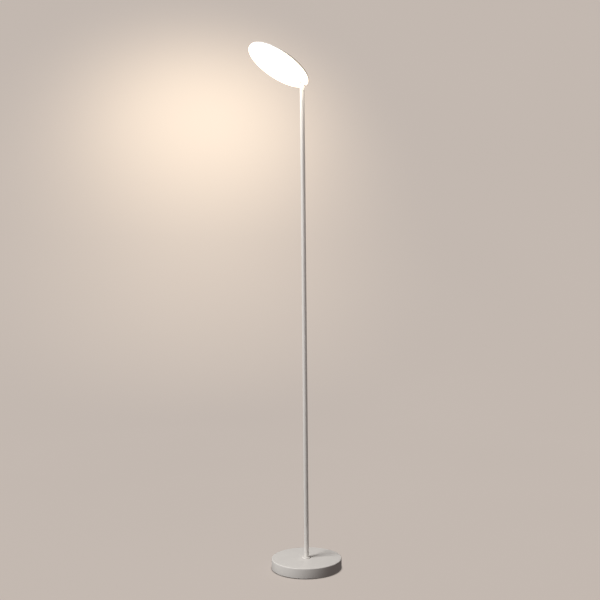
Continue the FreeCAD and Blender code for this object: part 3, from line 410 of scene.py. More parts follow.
@dataclass(frozen=True)
class GuidePlate(Surface):
    """Clear acrylic with rows of printed dots."""

    name: str = "guide_acrylic"
    clear: Colour = (0.9, 0.93, 0.94)
    printed: Colour = (0.98, 0.98, 0.98)
    roughness: Point = (0.04, 0.5)
    pitch: float = 2.5 * MM
    dot: float = 0.3

    def work(self) -> None:
        """Print the dots on a square grid."""
        cells = self.node("TexVoronoi", {"Vector": self.place(), "Scale": 1 / self.pitch,
                                         "Randomness": 0.0}, feature="F1")
        dots = self.node("Math", {0: cells.outputs["Distance"], 1: self.dot}, operation="LESS_THAN")
        self.ramp(dots.outputs["Value"], [(0.0, self.clear), (1.0, self.printed)])
        self.roughen(dots.outputs["Value"], self.roughness)
        self.cover({"Transmission Weight": 0.7, "IOR": 1.49})


@dataclass(frozen=True)
class Foam(Surface):
    """Closed-cell foam with open bubbles at the cut faces."""

    name: str = "foam"
    colour: Colour = (0.62, 0.62, 0.60)
    cell: float = 0.8 * MM
    relief: float = 0.25 * MM

    def work(self) -> None:
        """Sink the middle of every cell, and darken it with painted shade in the hollow."""
        cells = self.node("TexVoronoi", {"Vector": self.place(), "Scale": 1 / self.cell}, feature="F1")
        # Painted shade: each bubble's hollow middle is coloured darker than its rim
        self.ramp(cells.outputs["Distance"], [(0.0, shade(self.colour, 0.75)), (0.7, self.colour)])
        self.bump(cells.outputs["Distance"], self.relief, 0.8)
        self.cover({"Roughness": 0.9})


@dataclass(frozen=True)
class Backdrop(Surface):
    """Plain matt paint of the floor and the round wall, lit evenly by itself, with a painted contact shadow.
    """

    name: str = "backdrop_paint"
    colour: Colour = (0.15, 0.1325, 0.12)
    clouds: Point = (0.995, 1.005)
    cloud: float = 1.2
    own_light: float = 3.52
    # Reach of the painted contact shadow round whatever stands on the floor
    contact_shadow_reach: float = 6 * MM

    def work(self) -> None:
        """Light the paint evenly, and darken it with a painted contact shadow where something stands on it.
        """
        cloud = self.noise(self.place(), self.cloud, 1.0)
        tone = self.mottle(cloud, self.colour, self.clouds)
        # Painted contact shadow: ambient occlusion darkens the self-lit colour near the lamp's foot
        near = self.node("AmbientOcclusion", {"Color": tone, "Distance": self.contact_shadow_reach}, samples=4)
        self.cover({"Emission Color": near.outputs["Color"], "Emission Strength": self.own_light,
                    "Roughness": 0.95, "Specular IOR Level": 0.1})


class Finish(Enum):
    """All finishes of the lamp."""

    COAT = PowderCoat()
    IRON = CastIron()
    STEEL = ZincSteel()
    ROLLED = ZincSteel("rolled_steel", turned=False)
    BRASS = ZincSteel("brass", (0.72, 0.50, 0.20), turned=False)
    COPPER = ZincSteel("enamelled_copper", (0.55, 0.20, 0.07), turned=False)
    CAN = ZincSteel("aluminium_can", (0.66, 0.67, 0.69), turned=False)
    RUBBER = Moulded("rubber", (0.022, 0.022, 0.023), 0.75, 0.5 * MM, 0.03 * MM)
    BLACK = Moulded("black_plastic", (0.02, 0.02, 0.021), 0.42)
    COMPONENT = Moulded("component", (0.03, 0.03, 0.034), 0.35)
    FERRITE = Moulded("ferrite", (0.045, 0.043, 0.042), 0.6, 0.2 * MM, 0.03 * MM)
    NATURAL = Moulded("natural_acetal", (0.78, 0.77, 0.73), 0.4, subsurface=0.2)
    JACKET = Moulded("lead_jacket", (0.75, 0.75, 0.73), 0.38)
    REFLECTOR = Moulded("reflector_film", (0.86, 0.86, 0.86), 0.25)
    PHOSPHOR = Moulded("phosphor", (0.85, 0.62, 0.12), 0.35, subsurface=0.1)
    BOARD = CircuitBoard()
    FOAM = Foam()
    GUIDE = GuidePlate()
    OPAL = OpalFace()


# Modelling by hand


def start_fresh() -> None:
    """Leave edit mode and deselect everything."""
    if bpy.context.object is not None and bpy.context.object.mode != "OBJECT":
        bpy.ops.object.mode_set(mode="OBJECT")
    bpy.ops.object.select_all(action="DESELECT")


def weld() -> None:
    """Merge the doubles of the mesh in edit mode, and select all of it."""
    bpy.ops.mesh.select_all(action="SELECT")
    bpy.ops.mesh.remove_doubles(threshold=MERGE)
    bpy.ops.mesh.select_all(action="SELECT")


def arc(centre: Point, radius: float, start: float, end: float, count: int = 8) -> list[Point]:
    """Give points along an arc of a turned profile, from one angle in degrees to another."""
    angles = [math.radians(start + (end - start) * step / count) for step in range(count + 1)]
    return [(centre[0] + radius * math.cos(angle), centre[1] + radius * math.sin(angle)) for angle in angles]


@dataclass(frozen=True)
class Thread:
    """Screw thread along a turned profile. Sizes are in millimetres."""

    root: float
    crest: float
    low: float
    high: float
    pitch: float

    def points(self) -> list[Point]:
        """Give its zigzag from the low end to the high end.

        Returns:
            Points as radius and height.
        """
        turns = int(abs(self.high - self.low) / self.pitch)
        step = (self.high - self.low) / turns
        shape = ((self.root, 0.06), (self.crest, 0.44), (self.crest, 0.56), (self.root, 0.94))
        return [(radius, self.low + (turn + share) * step)
                for turn in range(turns) for radius, share in shape]


class Blank:
    """A mesh piece under work, shaped with Blender's own operators. Its sizes are in millimetres."""

    def __init__(self, name: str) -> None:
        """Take up the primitive that was just added.

        Args:
            name: Name of the piece.
        """
        self.piece = bpy.context.object
        self.piece.name = name
        self.move()

    @classmethod
    def turned(cls, name: str, profile: list[Point], steps: int = 96) -> "Blank":
        """Turn a closed profile about the upright axis.

        Args:
            name: Name of the piece.
            profile: Corners as radius and height.
            steps: Sides of the turned piece.

        Returns:
            The new piece.
        """
        start_fresh()
        radius, level = profile[0]
        bpy.ops.mesh.primitive_plane_add(size=MM, location=(radius * MM, 0, level * MM))
        made = cls(name)
        made.edit("VERT")
        bpy.ops.mesh.merge(type="CENTER")
        for (start, low), (end, high) in pairwise([*profile, profile[0]]):
            bpy.ops.mesh.extrude_vertices_move(
                TRANSFORM_OT_translate={"value": ((end - start) * MM, 0, (high - low) * MM)})
        weld()
        bpy.ops.mesh.spin(steps=steps, angle=math.tau, center=(0, 0, 0), axis=(0, 0, 1))
        weld()
        bpy.ops.mesh.delete_loose(use_faces=False)
        bpy.ops.mesh.select_all(action="SELECT")
        bpy.ops.mesh.normals_make_consistent(inside=False)
        start_fresh()
        return made

    @classmethod
    def block(cls, name: str, low: Corner, high: Corner) -> "Blank":
        """Make a block between two corners.

        Args:
            name: Name of the piece.
            low: Its lowest corner.
            high: Its highest corner.

        Returns:
            The new piece.
        """
        start_fresh()
        middle = [(one + other) / 2 * MM for one, other in zip(low, high)]
        size = [(other - one) * MM for one, other in zip(low, high)]
        bpy.ops.mesh.primitive_cube_add(size=1, location=middle, scale=size)
        return cls(name)

    @classmethod
    def prism(cls, name: str, sides: int, radius: float, low: float, high: float) -> "Blank":
        """Make an upright prism or rod with a corner on the X axis.

        Args:
            name: Name of the piece.
            sides: Number of its sides.
            radius: Radius to its corners.
            low: Height of its bottom.
            high: Height of its top.

        Returns:
            The new piece.
        """
        start_fresh()
        bpy.ops.mesh.primitive_cylinder_add(vertices=sides, radius=radius * MM, depth=(high - low) * MM,
                                            location=(0, 0, (low + high) / 2 * MM),
                                            rotation=(0, 0, math.pi / 2))
        return cls(name)

    def hold(self) -> None:
        """Select this piece alone."""
        start_fresh()
        self.piece.select_set(True)
        bpy.context.view_layer.objects.active = self.piece

    def edit(self, kind: str, action: str = "SELECT") -> None:
        """Go into edit mode with all vertices, edges or faces selected, or none.

        Args:
            kind: Kind of what is picked.
            action: What is done to all of them.
        """
        self.hold()
        bpy.ops.object.mode_set(mode="EDIT")
        bpy.ops.mesh.select_mode(type=kind)
        bpy.ops.mesh.select_all(action=action)

    def pick_faces(self, test: Callable[[Vector, Vector], bool]) -> None:
        """Go into edit mode with the faces that pass a test selected.

        Args:
            test: Test of a face's centre, in metres, and its normal.
        """
        self.edit("FACE", "DESELECT")
        bpy.ops.object.mode_set(mode="OBJECT")
        for face in self.piece.data.polygons:
            face.select = test(face.center, face.normal)
        bpy.ops.object.mode_set(mode="EDIT")

    def inset(self, margin: float, depth: float = 0.0) -> None:
        """Inset the selected faces and sink or raise them."""
        bpy.ops.mesh.inset(thickness=margin * MM, depth=depth * MM)

    def move(self, turn: Corner = (0, 0, 0), to: Corner = (0, 0, 0)) -> "Blank":
        """Turn the piece about the origin, move it and keep the place in its mesh.

        Args:
            turn: Turns about the three axes in radians.
            to: Way to move in millimetres.

        Returns:
            The same piece.
        """
        self.hold()
        if any(turn) or any(to):
            self.piece.rotation_euler = turn
            self.piece.location = [length * MM for length in to]
        bpy.ops.object.transform_apply(location=True, rotation=True, scale=True)
        return self

    def change(self, kind: str, **settings: object) -> "Blank":
        """Apply a modifier.

        Args:
            kind: Its type.
            settings: Properties to set on it.

        Returns:
            The same piece.
        """
        self.hold()
        added = self.piece.modifiers.new(kind.lower(), kind)
        for key, value in settings.items():
            setattr(added, key, value)
        bpy.ops.object.modifier_apply(modifier=added.name)
        return self

    def carve(self, tool: "Blank", way: str = "DIFFERENCE") -> None:
        """Cut this piece with another that is used up, or join them into one solid."""
        self.change("BOOLEAN", operation=way, solver="EXACT", object=tool.piece)
        bpy.data.objects.remove(tool.piece)

    def round_edges(self, width: float, segments: int = 2) -> "Blank":
        """Round the sharp edges to a width, in some steps."""
        return self.change("BEVEL", width=width * MM, segments=segments, limit_method="ANGLE",
                           angle_limit=SHARP_EDGE)

    def copy(self) -> "Blank":
        """Copy the piece with a mesh of its own."""
        self.hold()
        bpy.ops.object.duplicate()
        return Blank(self.piece.name)

    def repeat(self, moves: list[dict[str, Corner]]) -> "Blank":
        """Copy the piece to several places and join the copies.

        Args:
            moves: Turn or way to each place, as move takes them.

        Returns:
            The same piece.
        """
        row = [self, *(self.copy() for _ in moves[1:])]
        for made, way in zip(row, moves):
            made.move(**way)
        return self.join(row[1:])

    def join(self, others: list["Blank"]) -> "Blank":
        """Make the other pieces part of this one.

        Args:
            others: The other pieces.

        Returns:
            The same piece.
        """
        self.hold()
        for other in others:
            other.piece.select_set(True)
        bpy.ops.object.join()
        return self

    def paint(self, finish: Finish) -> "Blank":
        """Give the whole piece one finish.

        Args:
            finish: The finish.

        Returns:
            The same piece.
        """
        self.piece.data.materials.clear()
        self.piece.data.materials.append(finish.value.material)
        return self

    def finish(self, body: Body, slot: Slot, *replaced: str, sharp: float = 35) -> None:
        """Smooth the piece, let it ride on its body and hide the carried-over nodes that it replaces.

        Args:
            body: Body that it moves with.
            slot: Material slot that its finish belongs to; not used.
            replaced: Carried-over nodes that it replaces.
            sharp: Least angle in degrees of an edge that stays sharp.
        """
        self.hold()
        bpy.ops.object.shade_smooth_by_angle(angle=math.radians(sharp))
        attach(self.piece, body.value)
        if replaced:
            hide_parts(*replaced)
        LOG.info("built %s on %s", self.piece.name, body.value)


@dataclass(frozen=True)
class HexagonNut:
    """Nut with chamfered corners and a threaded bore. Sizes are in millimetres."""

    name: str
    width: float
    low: float
    high: float
    bore: float
    pitch: float
    margin: float = 0.2
    slope: float = math.radians(28)
    lead_share: float = 0.45
    thread_share: float = 0.7

    def build(self) -> Blank:
        """Cut a hexagon prism by a lens outside and by a threaded tap inside.

        Returns:
            The new piece.
        """
        low, high, bore = self.low, self.high, self.bore
        corner, shoulder = self.width / math.sqrt(3), self.width / 2 - self.margin
        outside = corner + PAST
        drop = (outside - shoulder) * math.tan(self.slope)
        nut = Blank.prism(self.name, 6, corner, low, high)
        nut.carve(Blank.turned("lens", [
            (0, low), (shoulder, low), (outside, low + drop), (outside, high - drop),
            (shoulder, high), (0, high)], steps=48), "INTERSECT")
        lead = self.pitch * self.lead_share
        nut.carve(Blank.turned("tap", [
            (0, low - PAST), (bore + PAST, low - PAST), (bore + lead, low), (bore, low + lead),
            *Thread(bore, bore + lead * self.thread_share, low + lead, high - lead, self.pitch).points(),
            (bore, high - lead), (bore + lead, high), (bore + PAST, high + PAST),
            (0, high + PAST)], steps=40))
        return nut


# Sub-assemblies


@dataclass
class Foot:
    """Weighted foot: cover, pad, screws, collar, stud and nut. Sizes are in millimetres."""

    radius: float = 120.0
    height: float = 35.0
    wall: float = 1.5
    edge: float = 2.5
    inner_edge: float = 0.8
    lip: float = 0.4
    ease: float = 0.3
    top_rings: Point = (40.0, 80.0)
    inlet_hole: float = 4.1
    inlet_level: float = 9.5
    pad_radius: float = 115.0
    pad_level: float = 2.0
    grooves: tuple[float, ...] = (16, 24, 32, 40, 48, 72, 80, 88, 96, 104)
    groove_width: float = 2.4
    groove_depth: float = 0.7
    groove_slope: float = 0.4
    screw_ring: float = 60.0
    screw_angles: tuple[float, ...] = (45, 135, 225, 315)
    screw_hole: float = 4.5
    screw_head: float = 4.0
    screw_round: float = 0.8
    screw_flat: float = 2.6
    screw_face: float = 0.5
    screw_seat: float = 2.0
    screw_end: float = 12.4
    screw_tip: float = 1.5
    screw_thread: Thread = Thread(1.55, 2.0, 2.2, 11.6, 0.7)
    # Half length, half width and depth of the cross recess
    cross: Corner = (1.9, 0.35, 1.5)
    cross_taper: Corner = (0.5, 0.6, 1)
    collar_radius: float = 14.0
    collar_height: float = 3.5
    collar_edge: float = 1.2
    collar_ease: float = 0.15
    pole_hole: float = 8.1
    stud_ends: Point = (16.5, 55.0)
    stud_bore: float = 3.0
    stud_tip: float = 4.2
    stud_thread: Thread = Thread(4.4, 5.0, 16.9, 54.6, 1.0)
    stud_hole: float = 5.1
    nut_width: float = 17.0
    nut_levels: Point = (18.0, 24.0)

    def build(self) -> None:
        """Build every piece of the foot."""
        self.build_cover()
        self.build_pad()
        self.build_screws()
        self.build_collar()
        self.build_stud_and_nut()

    def build_cover(self) -> None:
        """Turn the cover with its rounded edge, and drill it for the inlet."""
        inside, ceiling = self.radius - self.wall, self.height - self.wall
        inner, lip = self.inner_edge, self.lip
        cover = Blank.turned("cover", [
            (inside, self.pad_level + self.ease), *arc((inside - inner, ceiling - inner), inner, 0, 90, 4),
            (self.stud_hole, ceiling), (self.stud_hole, self.height),
            *((ring, self.height) for ring in self.top_rings),
            *arc((self.radius - self.edge, self.height - self.edge), self.edge, 90, 0, 14),
            *arc((self.radius - lip, self.pad_level + lip), lip, 0, -90, 4),
            (inside + self.ease, self.pad_level)], steps=256)
        drill = Blank.prism("drill", 48, self.inlet_hole, self.radius - FAR_PAST, self.radius + FAR_PAST)
        cover.carve(drill.move((-math.pi / 2, 0, 0), (0, 0, self.inlet_level)))
        cover.paint(Finish.COAT).finish(Body.STAND, Slot.COAT, "base_cover")

    def build_pad(self) -> None:
        """Turn the rubber pad with its grip grooves, and drill it over the screws."""
        profile = [(0, 0)]
        half, depth, slope = self.groove_width / 2, self.groove_depth, self.groove_slope
        for middle in self.grooves:
            profile += [(middle - half, 0), (middle - half + slope, depth),
                        (middle + half - slope, depth), (middle + half, 0)]
        profile += [(self.pad_radius - self.ease, 0), (self.pad_radius, self.ease),
                    (self.pad_radius, self.pad_level), (0, self.pad_level)]
        pad = Blank.turned("grip_pad", profile, steps=160)
        for angle in self.screw_angles:
            drill = Blank.prism("drill", 40, self.screw_hole, -PAST, self.pad_level + PAST)
            drill.move(to=(self.screw_ring, 0, 0))
            pad.carve(drill.move(turn=(0, 0, math.radians(angle))))
        pad.paint(Finish.RUBBER).finish(Body.STAND, Slot.RUBBER, "base_pad")

    def build_screws(self) -> None:
        """Turn one pan-head screw, sink its cross and copy it to the four places."""
        head, corner, face = self.screw_head, self.screw_round, self.screw_face
        screw = Blank.turned("plate_screws", [
            (0, face), (self.screw_flat, face), *arc((head - corner, face + corner), corner, -90, 0, 5),
            (head, self.screw_seat), (self.screw_thread.crest, self.screw_seat),
            *self.screw_thread.points(), (self.screw_tip, self.screw_end),
            (0, self.screw_end)], steps=40)
        long, thin, deep = self.cross
        for turn in range(2):
            cross = Blank.block("cross", (-long, -thin, 0), (long, thin, deep))
            cross.pick_faces(lambda centre, normal: normal.z > 0.5)
            bpy.ops.transform.resize(value=self.cross_taper, center_override=(0, 0, 0))
            screw.carve(cross.move(turn=(0, 0, math.pi / 2 * turn)))
        screw.move(to=(self.screw_ring, 0, 0))
        screw.repeat([{"turn": (0, 0, math.radians(angle))} for angle in self.screw_angles])
        screw.paint(Finish.STEEL).finish(Body.STAND, Slot.STEEL, "base_plate_screws")

    def build_collar(self) -> None:
        """Turn the collar round the pole's foot."""
        top, edge = self.height + self.collar_height, self.collar_edge
        collar = Blank.turned("collar", [
            (self.pole_hole, self.height), (self.collar_radius - self.collar_ease, self.height),
            (self.collar_radius, self.height + self.collar_ease),
            *arc((self.collar_radius - edge, top - edge), edge, 0, 90, 10),
            (self.pole_hole + self.ease, top), (self.pole_hole, top - self.ease)], steps=128)
        collar.paint(Finish.COAT).finish(Body.STAND, Slot.COAT, "foot_collar")

    def build_stud_and_nut(self) -> None:
        """Turn the hollow stud with its thread, and the nut that clamps it."""
        low, high = self.stud_ends
        bore, ease = self.stud_bore, self.ease
        stud = Blank.turned("clamp_stud", [
            (bore, low + ease), (bore + ease, low), (self.stud_tip, low), *self.stud_thread.points(),
            (self.stud_tip, high), (bore + ease, high), (bore, high - ease)], steps=48)
        stud.paint(Finish.STEEL).finish(Body.STAND, Slot.STEEL, "foot_stud")
        pitch = self.stud_thread.pitch
        nut = HexagonNut("clamp_nut", self.nut_width, *self.nut_levels, self.stud_hole, pitch).build()
        nut.paint(Finish.STEEL).finish(Body.STAND, Slot.STEEL, "foot_nut")


@dataclass
class Inlet:
    """Round low-voltage inlet at the back of the foot. Sizes are in millimetres."""

    level: float = Foot.inlet_level
    front: float = 121.5
    seat: float = Foot.radius
    back: float = 104.0
    floor: float = 111.5
    bore: float = 3.0
    barrel: float = 4.0
    barrel_ease: float = 0.4
    barrel_thread: Thread = Thread(3.7, 4.0, 105.5, 119.4, 0.75)
    neck: float = 3.85
    flange: float = 5.5
    edge: float = 0.5
    pin_hole: float = 0.8
    pin_depth: float = 4.0
    nut_width: float = 11.0
    nut_levels: Point = (115.8, 118.3)
    spring_half: float = 0.9
    # Bottom and top of the leaf above the bore's lowest line
    spring_levels: Point = (0.3, 0.5)
    spring_bulge: float = 0.5
    spring_middle: float = 0.6
    spring_short: float = 1.0
    spring_edge: float = 0.05
    spring_cuts: int = 7

    def build(self) -> None:
        """Build the inlet's body, nut and sleeve spring."""
        lying = (-math.pi / 2, 0, 0)
        raised = (0, 0, self.level)
        ease, edge, root = self.barrel_ease, self.edge, self.floor - self.pin_depth
        body = Blank.turned("inlet_body", [
            (0, self.back), (self.barrel - ease, self.back), (self.barrel, self.back + ease),
            *self.barrel_thread.points(), (self.neck, self.seat), (self.flange, self.seat),
            *arc((self.flange - edge, self.front - edge), edge, 0, 90, 5), (self.bore + edge, self.front),
            *arc((self.bore + edge, self.front - edge), edge, 90, 180, 4)[1:], (self.bore, self.floor),
            (self.pin_hole, self.floor), (self.pin_hole, root), (0, root)], steps=64)
        body.move(lying, raised).paint(Finish.BLACK).finish(Body.STAND, Slot.BLACK, "dc_inlet")
        pitch = self.barrel_thread.pitch
        nut = HexagonNut("inlet_nut", self.nut_width, *self.nut_levels, Foot.inlet_hole, pitch).build()
        nut.move(lying, raised).paint(Finish.STEEL).finish(Body.STAND, Slot.STEEL, "dc_inlet_nut")
        self.build_spring()

    def build_spring(self) -> None:
        """Bend the leaf that presses on the plug's sleeve."""
        bottom, tip, half = self.level - self.bore, self.seat - self.spring_short, self.spring_half
        low, high = (bottom + level for level in self.spring_levels)
        leaf = Blank.block("sleeve_spring", (-half, self.floor, low), (half, tip, high))
        leaf.edit("FACE")
        bpy.ops.mesh.subdivide(number_cuts=self.spring_cuts)
        middle = (self.floor + tip) / 2 * MM
        leaf.pick_faces(lambda centre, normal: abs(centre.y - middle) < self.spring_middle * MM)
        bpy.ops.transform.translate(value=(0, 0, self.spring_bulge * MM), use_proportional_edit=True,
                                    proportional_edit_falloff="SMOOTH",
                                    proportional_size=(tip - self.floor) / 2 * MM)
        leaf.round_edges(self.spring_edge, 1).paint(Finish.BRASS).finish(Body.STAND, Slot.BRASS)


@dataclass
class Driver:
    """Parts soldered to the driver's board. Sizes are in millimetres."""

    board_top: float = 9.1
    middle: float = 72.0
    coil_half: float = 6.0
    coil_height: float = 3.6
    coil_foot: float = 0.7
    coil_edge: float = 0.25
    drum: float = 5.6
    core: float = 3.2
    # Root, crest and pitch of the turns
    winding: Corner = (4.9, 5.15, 0.28)
    can_radius: float = 4.0
    can_height: float = 3.4
    can_offset: float = 14.0
    can_skirt: float = 0.1
    can_edge: float = 0.35
    can_dish: float = 0.12
    bead: float = 0.3
    bead_level: float = 0.85
    # Half length, half width and depth of the score marks
    score: Corner = (2.4, 0.12, 0.3)
    chip_place: Point = (15.0, 79.5)
    chip_half: Point = (2.8, 1.1)
    chip_levels: Point = (0.15, 1.45)
    chip_rim: float = 0.2
    chip_taper: Corner = (0.96, 0.92, 1)
    chip_edge: float = 0.06
    legs: int = 4
    leg_pitch: float = 1.4
    leg_half: float = 0.2
    # Near and far end of a foot from the chip's middle, then its leg's way in and up
    leg_span: Point = (1.05, 1.5)
    leg_bend: Point = (0.3, 0.5)

    def build(self) -> None:
        """Build the coil, the two capacitors and the chip as one row of parts."""
        coil = self.build_coil()
        cans = [self.build_can(side) for side in (-1, 1)]
        row = coil.join([*cans, self.build_chip()])
        row.finish(Body.STAND, Slot.COMPONENT, "driver_components")

    def build_coil(self) -> Blank:
        """Build the coil: a square foot, a drum and a copper winding.

        Returns:
            The new piece.
        """
        low, high = self.board_top, self.board_top + self.coil_height
        half, rim, core = self.coil_half, self.drum, self.core
        foot = Blank.block("driver_parts", (-half, self.middle - half, low),
                           (half, self.middle + half, low + self.coil_foot))
        foot.round_edges(self.coil_edge).paint(Finish.FERRITE)
        drum = Blank.turned("drum", [
            (0, low + 0.5), (rim - 0.2, low + 0.5), (rim, low + 0.9), (core, low + 1.0), (core, high - 0.8),
            (rim, high - 0.7), (rim - 0.2, high - 0.1), (rim - 0.6, high), (0, high)], steps=48)
        drum.move(to=(0, self.middle, 0)).paint(Finish.FERRITE)
        root, crest, pitch = self.winding
        winding = Blank.turned("winding", [
            (core + 0.1, low + 1.05), *Thread(root, crest, low + 1.05, high - 0.85, pitch).points(),
            (core + 0.1, high - 0.85)], steps=48)
        winding.move(to=(0, self.middle, 0)).paint(Finish.COPPER)
        return foot.join([drum, winding])

    def build_can(self, side: int) -> Blank:
        """Build one capacitor with its beaded can and the cross on its top.

        Args:
            side: Side of the coil that it stands on, -1 or 1.

        Returns:
            The new piece.
        """
        low, high, radius = self.board_top, self.board_top + self.can_height, self.can_radius
        skirt, edge, dish, bead = radius - self.can_skirt, self.can_edge, high - self.can_dish, self.bead
        bulge = low + self.bead_level
        can = Blank.turned("can", [
            (0, low), (radius - 0.5, low), (skirt, low + 0.25), (skirt, low + 0.6),
            *arc((radius + self.can_skirt, bulge), bead, 235, 125, 5), (radius, bulge + bead),
            *arc((radius - edge, high - edge), edge, 0, 90, 5), (radius - 0.8, high),
            (radius - 0.9, dish), (0, dish)], steps=48)
        long, thin, deep = self.score
        for turn in range(2):
            score = Blank.block("score", (-long, -thin, high - deep), (long, thin, high + deep))
            can.carve(score.move(turn=(0, 0, math.pi / 2 * turn)))
        can.move(to=(side * self.can_offset, self.middle, 0))
        return can.paint(Finish.CAN)

    def build_chip(self) -> Blank:
        """Build the switching chip with four legs on each long side.

        Returns:
            The new piece.
        """
        low = self.board_top
        (along, across), (long, wide) = self.chip_place, self.chip_half
        bottom, top = (low + level for level in self.chip_levels)
        chip = Blank.block("chip", (along - long, across - wide, bottom), (along + long, across + wide, top))
        chip.pick_faces(lambda centre, normal: normal.z > 0.5)
        chip.inset(self.chip_rim)
        bpy.ops.transform.resize(value=self.chip_taper,
                                 center_override=(along * MM, across * MM, low * MM))
        chip.round_edges(self.chip_edge, 1).paint(Finish.COMPONENT)
        first = along - self.leg_pitch * (self.legs - 1) / 2
        legs = [self.build_leg(first + self.leg_pitch * leg, way)
                for leg in range(self.legs) for way in (-1, 1)]
        return chip.join(legs)

    def build_leg(self, along: float, way: int) -> Blank:
        """Build one leg, bent up from the board to the chip's side.

        Args:
            along: Its place along the chip.
            way: Side of the chip, -1 or 1.

        Returns:
            The new piece.
        """
        low, half = self.board_top, self.leg_half
        near, far = sorted(self.chip_place[1] + way * step for step in self.leg_span)
        leg = Blank.block("leg", (along - half, near, low), (along + half, far, low + half))
        leg.pick_faces(lambda centre, normal: normal.y * way < -0.5)
        inwards, up = self.leg_bend
        bpy.ops.mesh.extrude_region_move(
            TRANSFORM_OT_translate={"value": (0, -inwards * way * MM, up * MM)})
        return leg.paint(Finish.STEEL)


@dataclass
class Pole:
    """Three equal tubes screwed end to end. Sizes are in millimetres."""

    radius: float = 8.0
    inside: float = 6.8
    foot: float = Foot.height
    top: float = 1631.9
    break_edge: float = 0.3
    tubes: tuple[str, ...] = ("lower", "middle", "upper")

    def build(self) -> None:
        """Turn each tube with its broken edges at the joints."""
        run, edge = (self.top - self.foot) / len(self.tubes), self.break_edge
        for index, name in enumerate(self.tubes):
            low, high = self.foot + index * run, self.foot + (index + 1) * run
            start = [(self.radius - edge, low), (self.radius, low + edge)] if index else [(self.radius, low)]
            tube = Blank.turned(f"tube_{name}", [
                (self.inside, low), *start, (self.radius, high - edge), (self.radius - edge, high),
                (self.inside, high)])
            tube.paint(Finish.COAT).finish(Body.STAND, Slot.COAT, f"pole_{name}")


